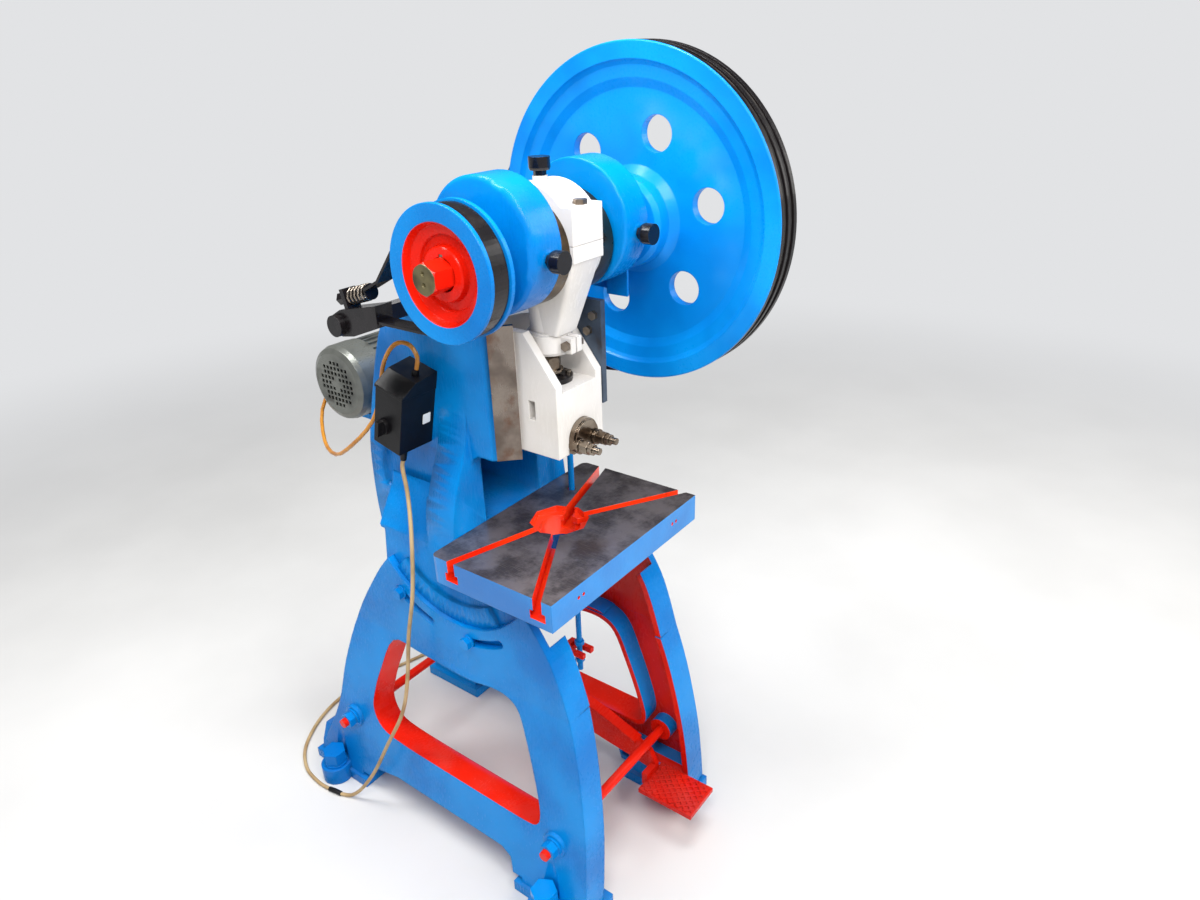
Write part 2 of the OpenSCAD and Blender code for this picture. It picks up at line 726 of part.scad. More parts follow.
// adjusting bolt of the brake: its first point from the drum's centre, its slope and the spring's length
spring_at = [186, -52];
spring_tilt = 16;
spring_l = 52;

// point beside the adjusting bolt, s along it and n above it
function on_bolt(s, n) = spring_at + [s * cos(spring_tilt) + n * sin(spring_tilt), n * cos(spring_tilt) - s * sin(spring_tilt)];

// point on a tangent to the band at angle a, at a distance d along it
function band_end(r, a, d) = [r * cos(a) - d * sin(a), r * sin(a) + d * cos(a)];

module brake_band() {
    // open band with straight ends that run to the tensioner
    color(dark) translate([drum_x0 + 9.5, 0, crank_z]) rotate([90, 0, 90]) linear_extrude(drum_w - 20)
        polygon(concat([on_bolt(-3.3, 7), band_end(band_r0 + band_t, 40, -118)],
            arc([0, 0], band_r0 + band_t, 40, 270, 56),
            [band_end(band_r0 + band_t, -90, 159.5), band_end(band_r0, -90, 159.5)],
            arc([0, 0], band_r0, 270, 40, 56), [band_end(band_r0, 40, -118), on_bolt(-3.3, 2.5)]));
}

module brake_tension() {
    x0 = drum_x0 + 9.5;
    w = drum_w - 20;
    color(dark) {
        // cast block on an arm from the cheek of the body, with an upright lug for the bolt
        translate([0, 0, crank_z]) {
            side(x0 - 2, w + 4) polygon([[159, -68], [159.8, -104], [222, -127], [252, -132], [270, -126],
                [276, -112], [270, -98], [250, -87]]);
            side(x0, -cheek_x - x0) polygon([[174, -78], [174, -104], [228, -122], [242, -94]]);
        }
        bolt_frame() difference() {
            translate([x0 + 2, spring_l, -26]) cube([w - 4, 9, 41]);
            translate([x0 + w / 2, spring_l + 20, 0]) rotate([90, 0, 0]) cylinder(r = 4.2, h = 60, $fn = 24);
        }
    }
    color(steel) {
        xcyl(18, x0 - 12, 9.8, 257, crank_z - 113, 48);
        bolt_frame() translate([x0 + w / 2, 0, 0]) rotate([-90, 0, 0]) {
            translate([0, 0, -3]) cylinder(r = 4, h = spring_l + 33, $fn = 24);
            translate([0, 0, -3]) cylinder(r = 13, h = 3, $fn = 48);
            for (z = [spring_l + 9.1, spring_l + 18.2]) translate([0, 0, z]) cylinder(r = 19 / sqrt(3), h = 9, $fn = 6);
        }
    }
}

module bolt_frame() {
    translate([0, spring_at[0], crank_z + spring_at[1]]) rotate([-spring_tilt, 0, 0]) children();
}

// coil spring on the adjusting bolt
module brake_spring() {
    turns = 5;
    r = 12.5;
    wire = 2.2;
    l = spring_l - 2 * wire - 0.6;
    color(dark) bolt_frame() translate([drum_x0 + drum_w / 2 - 0.5, wire + 0.3, 0])
        tube([for (i = [0 : 10 * turns]) [r * cos(36 * i), l * i / (10 * turns), r * sin(36 * i)]], wire, 1, 8);
}

// grease cups

module cup_stem(r = 6) {
    cylinder(r = r, h = 16, $fn = 32);
    cylinder(r = 9 / cos(30), h = 7, $fn = 6);
}

module cup_cap() {
    difference() {
        union() {
            translate([0, 0, 8]) cylinder(r1 = 15.5, r2 = 17, h = 4, $fn = 64);
            translate([0, 0, 12]) cylinder(r = 17, h = 16, $fn = 64);
        }
        translate([0, 0, -1]) cylinder(r = 6 + fit, h = 17.1, $fn = 32);
    }
}

cup_x = 115;
cup_z = crank_z + 10;

module barrel_cup(s) {
    translate([s * cup_x, -barrel_r - 2, cup_z]) rotate([90, 0, 0]) children();
}

module left_cup_stem() {
    color(dark) barrel_cup(-1) cup_stem();
}

module left_cup_cap() {
    color(dark) barrel_cup(-1) cup_cap();
}

module right_cup_stem() {
    color(dark) barrel_cup(1) cup_stem();
}

module right_cup_cap() {
    color(dark) barrel_cup(1) cup_cap();
}

// crankshaft

ecc_z = crank_z + throw;

module crankshaft() {
    color(steel) difference() {
        union() {
            xcyl(25, -212, 62, 0, crank_z);
            xcyl(journal_r, -154, 76, 0, crank_z);
            xcyl(journal_r, 76, 78, 0, crank_z);
            for (x = [-74, strap_x + gap]) xcyl(disc_r, x, 74 - strap_x - gap, 0, crank_z, 96);
            xcyl(journal_r + 6, -79.7, 6, 0, crank_z);
            xcyl(journal_r + 6, 73.7, 6, 0, crank_z);
            xcyl(ecc_r, -strap_x - 1, 2 * strap_x + 2, 0, ecc_z, 96);
            xcyl(28, 154, 176, 0, crank_z);
            translate([-243, 0, crank_z]) rotate([0, 90, 0]) cylinder(r = 43 / sqrt(3), h = 31.5, $fn = 6);
        }
        for (z = [-9, 7]) translate([-244, 0, crank_z + z]) rotate([0, 90, 0]) cylinder(r1 = 4, r2 = 0.6, h = 6, $fn = 24);
        translate([-226, -4, crank_z + 21]) cube([50, 8, 9]);
    }
}

module clutch_sleeve() {
    color(blue) difference() {
        union() {
            xcyl(48, 158, 50, 0, crank_z, 96);
            xcyl(58, 176, 12, 0, crank_z, 96);
        }
        xcyl(28 + 0.01, 100, 200, 0, crank_z);
    }
}

module shaft_retainer() {
    color(dark) {
        difference() {
            xcyl(44, 318.5, 8, 0, crank_z, 64);
            xcyl(28 + 0.01, 300, 50, 0, crank_z);
        }
        translate([330, 0, crank_z]) rotate([0, 90, 0]) cylinder(r = 38 / sqrt(3), h = 12, $fn = 6);
    }
}

// flywheel

rim_x = 242;

module flywheel() {
    color(blue) difference() {
        xturn(concat([[36, 214], [hub_r - 8, 214], [hub_r, 222], [hub_r + 1, 246], [hub_r + 16, 258],
            [fly_r - 74, 260], [fly_r - 58, 252], [fly_r - 38, 249], [fly_r - 32, 245], [fly_r - 29, rim_x],
            [fly_r - 2, rim_x], [fly_r, rim_x + 2]],
            groove(fly_r, belt_x[0]), groove(fly_r, belt_x[1]),
            [[fly_r, rim_x + rim_w - 2], [fly_r - 2, rim_x + rim_w], [fly_r - 34, rim_x + rim_w], [fly_r - 56, 288],
            [fly_r - 74, 278], [hub_r + 10, 276], [hub_r - 4, 290], [hub_r - 6, 317], [36, 317]]), 0, crank_z);
        for (a = [47.5 : 60 : 359]) xcyl(light_r, 200, 200, light_c * cos(a), crank_z + light_c * sin(a));
    }
}

module flywheel_bush() {
    color([0.6, 0.45, 0.2]) difference() {
        xcyl(36 - 0.01, 212, 106, 0, crank_z);
        xcyl(28 + fit, 200, 200, 0, crank_z);
    }
}

// connecting rod

ball_z = ecc_z - rod_len;
collar_z = 1070;
collar_h = 38;
screw_r = 14;
rib_w = 28;
block_z = [ecc_z - 26, ecc_z + 58];

module strap_view() {
    difference() {
        union() {
            circle(r = strap_r, $fn = 128);
            for (s = [-1, 1]) translate([s < 0 ? -strap_r : strap_r - 30, block_z[0] - ecc_z])
                square([30, block_z[1] - block_z[0]]);
        }
        circle(r = ecc_r + fit, $fn = 128);
    }
}

module conrod() {
    color(white) difference() {
        union() {
            intersection() {
                translate([0, 0, ecc_z]) side(-strap_x, 2 * strap_x) strap_view();
                translate([-100, -200, ecc_z - 200]) cube([200, 400, 200]);
            }
            difference() {
                translate([0, 0, collar_z]) cylinder(r1 = 30, r2 = 33, h = ecc_z - ecc_r - collar_z + 8, $fn = 64);
                xcyl(ecc_r + 12, -100, 200, 0, ecc_z, 96);
            }
            zcyl(collar_r, 0, 0, collar_z + 4, collar_h - 8, 64);
            zcyl(collar_r - 3, 0, 0, collar_z, collar_h, 64);
            // clamp lugs and front rib
            translate([-rib_w / 2, -collar_r - 19, collar_z + 6]) cube([rib_w, 35, 26]);
            side(-rib_w / 2, rib_w) polygon([[-34, collar_z + 26], [-44, 1150], [-strap_r + 3, ecc_z - 27],
                [-60, ecc_z - 50], [-20, ecc_z - ecc_r - 14]]);
        }
        zcyl(screw_r + fit, 0, 0, collar_z - 5, 78, 48);
        translate([-1.5, -collar_r - 20, collar_z - 1]) cube([3, collar_r + 10, 34]);
        xcyl(5.2, -30, 60, -collar_r - 10, collar_z + 19, 32);
            for (y = [-strap_r + 13, strap_r - 13]) zcyl(6.2, 0, y, block_z[0] + 4, 60, 32);
    }
}

module strap_cap() {
    color(white) difference() {
        union() {
            intersection() {
                translate([0, 0, ecc_z]) side(-strap_x, 2 * strap_x) strap_view();
                translate([-100, -200, ecc_z + 0.6]) cube([200, 400, 200]);
            }
            zcyl(12, 0, 0, ecc_z + strap_r - 6, 12, 48);
        }
        for (y = [-strap_r + 13, strap_r - 13]) {
            zcyl(6.2, 0, y, ecc_z - 60, 200, 32);
            zcyl(12.5, 0, y, block_z[1], 40);
        }
    }
}

module strap_bolts() {
    color(steel) for (y = [-strap_r + 13, strap_r - 13]) translate([0, y, 0]) {
        translate([0, 0, block_z[1]]) cylinder(r = 19 / sqrt(3), h = 8, $fn = 6);
        translate([0, 0, block_z[0] + 5]) cylinder(r = 6.15, h = block_z[1] - block_z[0] - 4, $fn = 32);
    }
}

module clamp_bolt() {
    color(steel) translate([0, -collar_r - 10, collar_z + 19]) rotate([0, 90, 0]) {
        translate([0, 0, -rib_w / 2 - 7]) cylinder(r = 5, h = rib_w + 16, $fn = 32);
        for (z = [-rib_w / 2 - 7, rib_w / 2]) translate([0, 0, z]) cylinder(r = 15 / sqrt(3), h = 7, $fn = 6);
    }
}

module top_cup_stem() {
    color(dark) translate([0, 0, ecc_z + strap_r + 6]) cup_stem();
}

module top_cup_cap() {
    color(dark) translate([0, 0, ecc_z + strap_r + 6]) cup_cap();
}

module ball_screw() {
    color(steel) {
        zcyl(screw_r, 0, 0, collar_z - 1, 70, 48);
        translate([0, 0, collar_z - 30]) cylinder(r = 30 / sqrt(3), h = 29.5, $fn = 6);
        zcyl(9, 0, 0, ball_z + 8, collar_z - 22 - ball_z, 48);
        translate([0, 0, ball_z]) sphere(r = ball_r, $fn = 48);
    }
}

// ram

seat_play = 3.4;
ram_z = ball_z - ball_h;
ram_top = ram_z + ram_h;
seat_z = ball_z + ball_r + 1.5;
bevel_z = ram_top - 85;
clamp_r = 34;
clamp_z = ram_z + 23;
stud_z = ram_z + 16;
stud_x = 24;
stud_r = 6;

module ram_section() {
    r = ram_x;
    polygon([[-r, -ram_front], [r, -ram_front], [r, vee_y - 21.6], [r + 19, vee_y - 2.6], [r + 19, vee_y + 2.6],
        [r, vee_y + 21.6], [r, 106], [-r, 106], [-r, vee_y + 21.6], [-r - 19, vee_y + 2.6],
        [-r - 19, vee_y - 2.6], [-r, vee_y - 21.6]]);
}

module ram() {
    color(white) difference() {
        translate([0, 0, ram_z]) linear_extrude(ram_top - ram_z) ram_section();
        // bevelled front of the two upper walls
        side(-100, 200) polygon([[-ram_front - 1, bevel_z], [5, ram_top + 1], [5, 1300], [-200, 1300], [-200, bevel_z]]);
        // pocket for the ball screw
        translate([-45, -100, seat_z]) cube([90, 145, 200]);
        zcyl(45, 0, 45, seat_z, 200, 64);
        // ball seat
        zcyl(ball_r + seat_play, 0, 0, ball_z - ball_r - 0.4, 60, 64);
        // tool bore
        zcyl(tool_r, 0, 0, ram_z - 1, 62, 48);
        // knock-out slot
        translate([-100, -13, ram_z + 62]) cube([200, 14, 34]);
        // recess for the tool clamp
        ycyl(clamp_r, 0, -1, clamp_z, 100, 64);
        translate([-clamp_r, -ram_front - 10, ram_z - 10]) cube([2 * clamp_r, ram_front + 9, clamp_z - ram_z + 10]);
        for (x = [-stud_x, stud_x]) ycyl(stud_r + 0.2, x, 22, stud_z, 80, 24);
        for (a = [45 : 90 : 359]) zcyl(3.2, 29 * cos(a), 29 * sin(a), seat_z - 14, 30, 24);
    }
}

module ball_retainer() {
    color(dark) difference() {
        intersection() {
            zcyl(37, 0, 0, seat_z, 9, 64);
            translate([-44, -ram_front + 4, seat_z - 5]) cube([88, 100, 40]);
        }
        zcyl(9 + seat_play + 0.4, 0, 0, seat_z - 5, 30, 48);
        for (a = [45 : 90 : 359]) zcyl(3.3, 29 * cos(a), 29 * sin(a), seat_z - 5, 30, 24);
    }
}

module retainer_screws() {
    color(steel) for (a = [45 : 90 : 359]) translate([29 * cos(a), 29 * sin(a), 0]) {
        translate([0, 0, seat_z - 12]) cylinder(r = 3.1, h = 21.5, $fn = 24);
        translate([0, 0, seat_z + 9]) cylinder(r = 5.5, h = 5, $fn = 32);
    }
}

// half clamp with a flat boss under each nut
module tool_clamp() {
    r = clamp_r - gap;
    color(steel) difference() {
        intersection() {
            union() {
                ycyl(r - 3, 0, -1.5, clamp_z, ram_front + 12, 64);
                ycyl(r, 0, -1.5, clamp_z, ram_front + 8, 64);
                translate([-r, -ram_front - 9.5, ram_z + 2]) cube([2 * r, ram_front + 8, clamp_z - ram_z - 2]);
                for (x = [-stud_x, stud_x]) ycyl(12, x, -ram_front, stud_z, 16, 48);
            }
            translate([-50, -200, ram_z + 2]) cube([100, 300, 100]);
        }
        zcyl(tool_r, 0, 0, ram_z - 10, 100, 48);
        for (x = [-stud_x, stud_x]) ycyl(stud_r + 0.2, x, 10, stud_z, 200, 24);
    }
}

module clamp_studs() {
    y0 = -ram_front - 16;
    color(steel) for (x = [-stud_x, stud_x]) {
        ycyl(stud_r, x, 20, stud_z, 20 - y0 + 42, 32);
        ycyl(12.5, x, y0 - 0.1, stud_z, 2.5, 48);
        translate([x, y0 - 2.6, stud_z]) rotate([90, 30, 0]) cylinder(r = 19 / sqrt(3), h = 24, $fn = 6);
    }
}

// pedal and trip

pad_x = 104;
pad_y = -258;
pad_z = 88;
lever_x = 124;
pull_x = 110;
pull_y = 58;
pull_r = 6;
fork_z = 345;

// lever on the rear tie rod, with its tread, and the fork that pulls on the rod
module pedal() {
    color(red) difference() {
        union() {
            xcyl(24, lever_x - 27, 46, rear_rod_y, rear_rod_z);
            side(lever_x - 6, 12) polygon([[rear_rod_y, rear_rod_z + 23], [rear_rod_y - 60, rear_rod_z + 26], [90, 206],
                [0, 184], [-84, 156], [-118, 142], [-134, 112], [-134, pad_z - 6], [-112, pad_z + 6], [-76, 100],
                [0, 108], [90, 122], [260, 150], [rear_rod_y, rear_rod_z - 23]]);
            side(lever_x - 13, 26) polygon([[rear_rod_y - 20, rear_rod_z + 22.8], [rear_rod_y - 60, rear_rod_z + 26],
                [90, 206], [0, 184], [-84, 156], [-84, 149], [0, 177], [90, 199], [rear_rod_y - 60, rear_rod_z + 19],
                [rear_rod_y - 20, rear_rod_z + 15.8]]);
            translate([pad_x - 20, -134, pad_z - 8]) cube([lever_x + 6 - pad_x + 20, 14, 30]);
            tread();
            fork();
        }
        xcyl(rod_r + fit, -10, 300, rear_rod_y, rear_rod_z, 48);
    }
}

// arm that rises from the lever and forks round the pull rod
module fork() {
    side(lever_x - 6, 11) polygon([[190, 192], [168, 236], [134, 300], [104, fork_z - 8], [94, fork_z + 5],
        [34, fork_z + 5], [34, fork_z - 7], [72, fork_z - 8], [90, fork_z - 30], [114, 280], [130, 230], [136, 190]]);
    translate([pull_x - pull_r - 14, 34, fork_z - 6]) cube([10, 60, 11]);
    translate([pull_x - pull_r - 14, 82, fork_z - 6]) cube([lever_x - pull_x + pull_r + 12, 12, 11]);
}

module tread() {
    x0 = pad_x - pad_w / 2;
    translate([x0, pad_y, pad_z - 8]) cube([pad_w, pad_l, 10]);
    intersection() {
        for (i = [-8 : 8]) for (s = [-1, 1]) translate([pad_x + i * 16, pad_y + pad_l / 2, pad_z + 1])
            rotate([0, 0, s * 40]) translate([-2, -110, 0]) cube([4, 220, 3.5]);
        translate([x0 + 4, pad_y + 4, pad_z]) cube([pad_w - 8, pad_l - 8, 10]);
    }
}

rod_z0 = 292;
trip_z = 1150;
trip_y = -34;

module pull_rod() {
    color(blue) zcyl(pull_r, pull_x, pull_y, rod_z0, trip_z + 22 - rod_z0, 48);
}

module pull_rod_nuts() {
    color(blue) for (z = [fork_z - 30, fork_z + 14, trip_z - 21, trip_z + 11]) difference() {
        translate([pull_x, pull_y, z]) cylinder(r = 19 / sqrt(3), h = 10, $fn = 6);
        zcyl(pull_r, pull_x, pull_y, z - 1, 14, 48);
    }
}

// bracket under the right barrel, with the pin of the trip lever
module trip_bracket() {
    color(blue) {
        translate([barrel_x, trip_y - 22, trip_z - 16]) cube([5, 44, 52]);
        xcyl(13, barrel_x, 7, trip_y, trip_z);
        xcyl(7, barrel_x, 26, trip_y, trip_z, 48);
    }
}

module trip_lever() {
    color(blue) difference() {
        union() {
            xcyl(14, barrel_x + 8, 9, trip_y, trip_z);
            side(barrel_x + 8, 9) polygon([[trip_y - 6, trip_z - 10], [pull_y + 18, trip_z - 5],
                [pull_y + 18, trip_z + 5], [6, trip_z + 9], [0, crank_z - 49.5], [-10, crank_z - 49.5],
                [-14, trip_z + 14], [trip_y, trip_z + 12]]);
            translate([cheek_x + 2, pull_y - 18, trip_z - 5]) cube([barrel_x + 16.9 - cheek_x - 2, 36, 10]);
        }
        xcyl(7 + fit, 100, 100, trip_y, trip_z, 48);
        translate([cheek_x, pull_y - 12, trip_z - 20]) cube([pull_x + 9 - cheek_x, 25, 40]);
    }
}

// supply cord

cord_r = 4;
cord_route = [[-150, 231, 884], [-150, 236, 864], [-151, 241, 844], [-158, 228, 796], [-180, 206, 730], [-202, 198, 620],
    [-208, 222, 512], [-214, 242, 391], [-220, 268, 300], [-232, 318, 200], [-246, 362, 110], [-256, 408, 40],
    [-266, 440, 8], [-276, 466, 4.5]];
joint_at = [[-276, 466, 4.5], [-282, 500, 4.5]];
cord_route2 = [[-282, 500, 4.5], [-284, 540, 4.5], [-272, 600, 4.5], [-230, 660, 4.5], [-150, 710, 4.5],
    [-60, 732, 4.5], [30, 726, 4.5], [110, 700, 4.5], [180, 680, 4.5], [260, 660, 4.5], [326, 649, 4.5]];
coil_c = [352, 596];
coil_r = 46;
plug_at = [402, 551];

module supply_cord() {
    color([0.75, 0.65, 0.48]) {
        tube(cord_route, cord_r, 4);
        tube(cord_route2, cord_r, 4);
    }
}

module cord_joint() {
    color(dark) {
        tube([joint_at[0], (joint_at[0] + joint_at[1]) / 2 + [0, 0, 1], joint_at[1]], cord_r + 1.5, 4);
    }
}

module cord_coil() {
    color([0.75, 0.65, 0.48]) translate([coil_c[0], coil_c[1], 0]) rotate_extrude($fn = 64)
        translate([coil_r - 9, 0.4]) square([18, 17]);
}

module plug() {
    color(dark) {
        translate([plug_at[0] - 17, plug_at[1] - 46, 0.4]) cube([34, 46, 26]);
        // sleeve of the cord, up to the coil
        ycyl(7, plug_at[0], coil_c[1] - sqrt(pow(coil_r + 9 + gap, 2) - pow(plug_at[0] - 7 - coil_c[0], 2)), 13.4, 16, 32);
        for (x = [-7, 7]) ycyl(2.4, plug_at[0] + x, plug_at[1] - 45, 13.4, 20, 24);
    }
}

left_leg();
right_leg();
front_tie_rod();
rear_tie_rod();
tie_rod_nuts();
anchor_bolts();
press_frame();
table_plate();
main_bushes();
left_gib();
right_gib();
gib_bolts();
tilt_bolts();
switch_box();
switch_lid();
switch_knob();
box_glands();
motor_body();
fan_cover();
terminal_box();
motor_bracket();
motor_lead();
motor_pulley();
v_belts();
brake_band();
brake_tension();
brake_spring();
left_cup_stem();
left_cup_cap();
right_cup_stem();
right_cup_cap();
crankshaft();
brake_drum();
drum_key();
clutch_sleeve();
shaft_retainer();
flywheel();
flywheel_bush();
conrod();
strap_cap();
strap_bolts();
clamp_bolt();
top_cup_stem();
top_cup_cap();
ball_screw();
ram();
ball_retainer();
retainer_screws();
tool_clamp();
clamp_studs();
pedal();
pull_rod();
pull_rod_nuts();
trip_bracket();
trip_lever();
supply_cord();
cord_joint();
cord_coil();
plug();
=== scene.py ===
# %% [markdown]
# # A small blue eccentric press
#
# This notebook dresses a workshop press: a cast body that can lean in its cast stand, a
# big flywheel on one side, a brake drum on the other, and a white connecting rod and ram
# in the middle. The solids come from the part's CAD model. Here they get their enamel,
# iron, steel and rubber, and the things that are easier to make by hand than in CAD.

# %% Load the solids
import math

import bpy
from mathutils import Matrix, Vector


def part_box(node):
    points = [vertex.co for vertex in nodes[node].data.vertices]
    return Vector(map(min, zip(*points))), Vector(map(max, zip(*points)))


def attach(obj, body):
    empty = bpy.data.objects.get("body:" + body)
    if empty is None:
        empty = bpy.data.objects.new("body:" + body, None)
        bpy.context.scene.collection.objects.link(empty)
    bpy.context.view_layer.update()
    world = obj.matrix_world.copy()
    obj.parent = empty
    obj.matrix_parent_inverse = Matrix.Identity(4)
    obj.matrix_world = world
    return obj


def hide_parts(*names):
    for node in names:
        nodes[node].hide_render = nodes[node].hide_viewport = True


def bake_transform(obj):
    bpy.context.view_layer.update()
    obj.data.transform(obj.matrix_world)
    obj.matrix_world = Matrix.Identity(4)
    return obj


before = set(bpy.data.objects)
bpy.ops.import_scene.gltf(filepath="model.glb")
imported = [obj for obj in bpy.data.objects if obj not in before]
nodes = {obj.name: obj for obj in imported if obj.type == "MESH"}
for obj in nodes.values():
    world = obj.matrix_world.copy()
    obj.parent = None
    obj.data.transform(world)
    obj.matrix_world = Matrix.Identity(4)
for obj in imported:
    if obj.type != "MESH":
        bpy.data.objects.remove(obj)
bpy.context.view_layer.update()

# %% [markdown]
# ## Camera
#
# The picture is taken from the operator's left, as high as the top of the flywheel, with
# a wide lens. The camera's direction is written as three angles, because a photographer
# thinks in turn, tilt and roll. The lens is written as its distance to a picture that is
# 1200 pixels wide, and the sensor's width turns that into millimetres.

# %% Place the camera
SENSOR_WIDTH, LENS_PIXELS, PICTURE_PIXELS = 36.0, 853.69, 1200
CAMERA_PLACE = (-1.0493, -0.8974, 1.5278)
turn, tilt, roll = math.radians(52.74), math.radians(25.17), math.radians(1.89)
ahead = Vector((math.sin(turn) * math.cos(tilt), math.cos(turn) * math.cos(tilt), -math.sin(tilt)))
level = Vector((math.cos(turn), -math.sin(turn), 0))
below = ahead.cross(level)
right = level * math.cos(roll) + below * math.sin(roll)
down = below * math.cos(roll) - level * math.sin(roll)
bpy.ops.object.camera_add(location=CAMERA_PLACE)
camera = bpy.context.object
camera.name = "camera"
camera.rotation_euler = Matrix((right, -down, -ahead)).transposed().to_euler()
camera.data.sensor_width = SENSOR_WIDTH
camera.data.lens = SENSOR_WIDTH * LENS_PIXELS / PICTURE_PIXELS
camera.data.clip_start = 0.05
bpy.context.scene.camera = camera
print("lens:", round(camera.data.lens, 2), "mm")

# %% [markdown]
# ## Supply cord
#
# A rubber-sheathed cord drops from the switch box, touches the floor behind the left
# leg, passes a taped joint and ends in a coil behind the stand with its plug. It keeps
# one length, so it is one line: the route as listed, then the turns of the coil by a loop.

# %% Route of the cord, in metres
CORD_THICKNESS = 0.008
hanging = [(-0.150, 0.231, 0.884), (-0.150, 0.236, 0.864), (-0.151, 0.241, 0.844), (-0.158, 0.228, 0.796),
           (-0.180, 0.206, 0.730), (-0.202, 0.198, 0.620), (-0.208, 0.222, 0.512), (-0.214, 0.242, 0.391),
           (-0.220, 0.268, 0.300), (-0.232, 0.318, 0.200), (-0.246, 0.362, 0.110), (-0.256, 0.408, 0.040),
           (-0.266, 0.440, 0.008), (-0.276, 0.466, 0.0045)]
lying = [(-0.282, 0.500, 0.0045), (-0.284, 0.540, 0.0045), (-0.272, 0.600, 0.0045), (-0.230, 0.660, 0.0045),
         (-0.150, 0.710, 0.0045), (-0.060, 0.732, 0.0045), (0.030, 0.726, 0.0045), (0.110, 0.700, 0.0045),
         (0.180, 0.680, 0.0045), (0.260, 0.660, 0.0045), (0.326, 0.649, 0.0045)]
into_plug = [(0.402, 0.580, 0.0131), (0.402, 0.562, 0.0134), (0.402, 0.552, 0.0134)]
COIL_CENTRE, COIL_INNER, COIL_OUTER = (0.352, 0.596), 0.0418, 0.050
ON_FLOOR, ON_TOP = 0.0045, 0.0128


def smooth_line(points, steps):
    """A smooth curve through the points, as a list of vectors, with some steps from each to the next."""
    p = [Vector(q) for q in points]
    line = []
    for i in range(len(p) - 1):
        a, b, c, d = p[max(i - 1, 0)], p[i], p[i + 1], p[min(i + 2, len(p) - 1)]
        for k in range(steps):
            t = k / steps
            line.append(0.5 * (2 * b + (c - a) * t + (2 * a - 5 * b + 4 * c - d) * t * t
                               + (3 * b - a - 3 * c + d) * t ** 3))
    return line + [p[-1]]


def climb(value, start, width):
    """0 up to start, 1 from start + width on, and straight in between."""
    return min(max(value - start, 0) / width, 1)


def coil_turns(centre, inner, outer, low, high, steps=24):
    """Clockwise turns: out to in on the floor, a step up, and in to out on top."""
    line = []
    for k in range(1, 4 * steps + steps // 4 + 1):
        turns = k / steps
        angle = math.radians(90 - 360 * turns)
        r = outer - (outer - inner) * (climb(turns, 0.8, 0.4) - climb(turns, 2.8, 0.4))
        z = low + (high - low) * climb(turns, 1.7, 0.5)
        line.append(Vector((centre[0] + r * math.cos(angle), centre[1] + r * math.sin(angle), z)))
    return line


route = smooth_line(hanging, 6) + smooth_line(lying, 6)
route += coil_turns(COIL_CENTRE, COIL_INNER, COIL_OUTER, ON_FLOOR, ON_TOP)
route += [Vector(p) for p in into_plug]
cord_length = sum((b - a).length for a, b in zip(route, route[1:]))
print("cord:", round(cord_length, 3), "m")

# %% [markdown]
# A curve with a round bevel is the simplest cord: its own line is the centreline, and
# the bevel depth is half the thickness. It hangs from the body, which can lean back,
# and lies on the floor. The curve is turned into a mesh.
#
# An operator acts on all that is selected, and the solids come in selected. So each
# piece is taken alone first.

# %% Make the cord
def start_clean():
    """Nothing stays selected, so that an operator works on the new piece alone."""
    if bpy.context.object and bpy.context.object.mode != "OBJECT":
        bpy.ops.object.mode_set(mode="OBJECT")
    bpy.ops.object.select_all(action="DESELECT")


def take(*pieces):
    """Selects these pieces, the first one as the active one."""
    start_clean()
    for piece in pieces:
        piece.select_set(True)
    bpy.context.view_layer.objects.active = pieces[0]


line = bpy.data.curves.new("mains_cord", "CURVE")
line.dimensions = "3D"
line.bevel_depth = CORD_THICKNESS / 2
line.bevel_resolution = 4
line.use_fill_caps = True
spline = line.splines.new("POLY")
spline.points.add(len(route) - 1)
for point, place in zip(spline.points, route):
    point.co = (*place, 1)
cord = bpy.data.objects.new("mains_cord", line)
bpy.context.scene.collection.objects.link(cord)
take(cord)
bpy.ops.object.convert(target="MESH")
cord = bpy.context.object
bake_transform(cord)
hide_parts("supply_cord", "cord_coil")
print("cord faces:", len(cord.data.polygons))

# %% [markdown]
# ## Writing finishes as sums
#
# A finish is a small calculation that runs for every point of the surface. Drawn as
# nodes it soon fills a screen, and written as Python expressions it stays readable. A
# `Wire` is one output of a node, and adding or multiplying wires adds Math nodes.


# %% A wire
class Wire:
    """One output socket, with the operators of plain arithmetic."""

    def __init__(self, finish, socket):
        self.finish, self.socket = finish, socket

    def out(self, name):
        return Wire(self.finish, self.socket.node.outputs[name])

    def math(self, operation, *values):
        return self.finish.node("ShaderNodeMath", {"operation": operation}, dict(enumerate(values)))

    def most(self, other):
        return self.math("MAXIMUM", self, other)

    def sign(self):
        return self.math("SIGN", self)

    def __abs__(self):
        return self.math("ABSOLUTE", self)

    def __neg__(self):
        return self.math("SUBTRACT", 0, self)

    def __add__(self, other):
        return self.math("ADD", self, other)

    def __sub__(self, other):
        return self.math("SUBTRACT", self, other)

    def __rsub__(self, other):
        return self.math("SUBTRACT", other, self)

    def __mul__(self, other):
        return self.math("MULTIPLY", self, other)

    def __pow__(self, other):
        return self.math("POWER", self, other)

    __radd__, __rmul__ = __add__, __mul__


# %% [markdown]
# A `Finish` is one material. Every node comes from its `node` method, and the others
# are short names for what a paint shop needs again and again: a soft step, a mix of two
# colours, noise at some scale, a bump, and edges that look rounded. The pattern reads
# the place on the part, so it stays on the part wherever that moves.


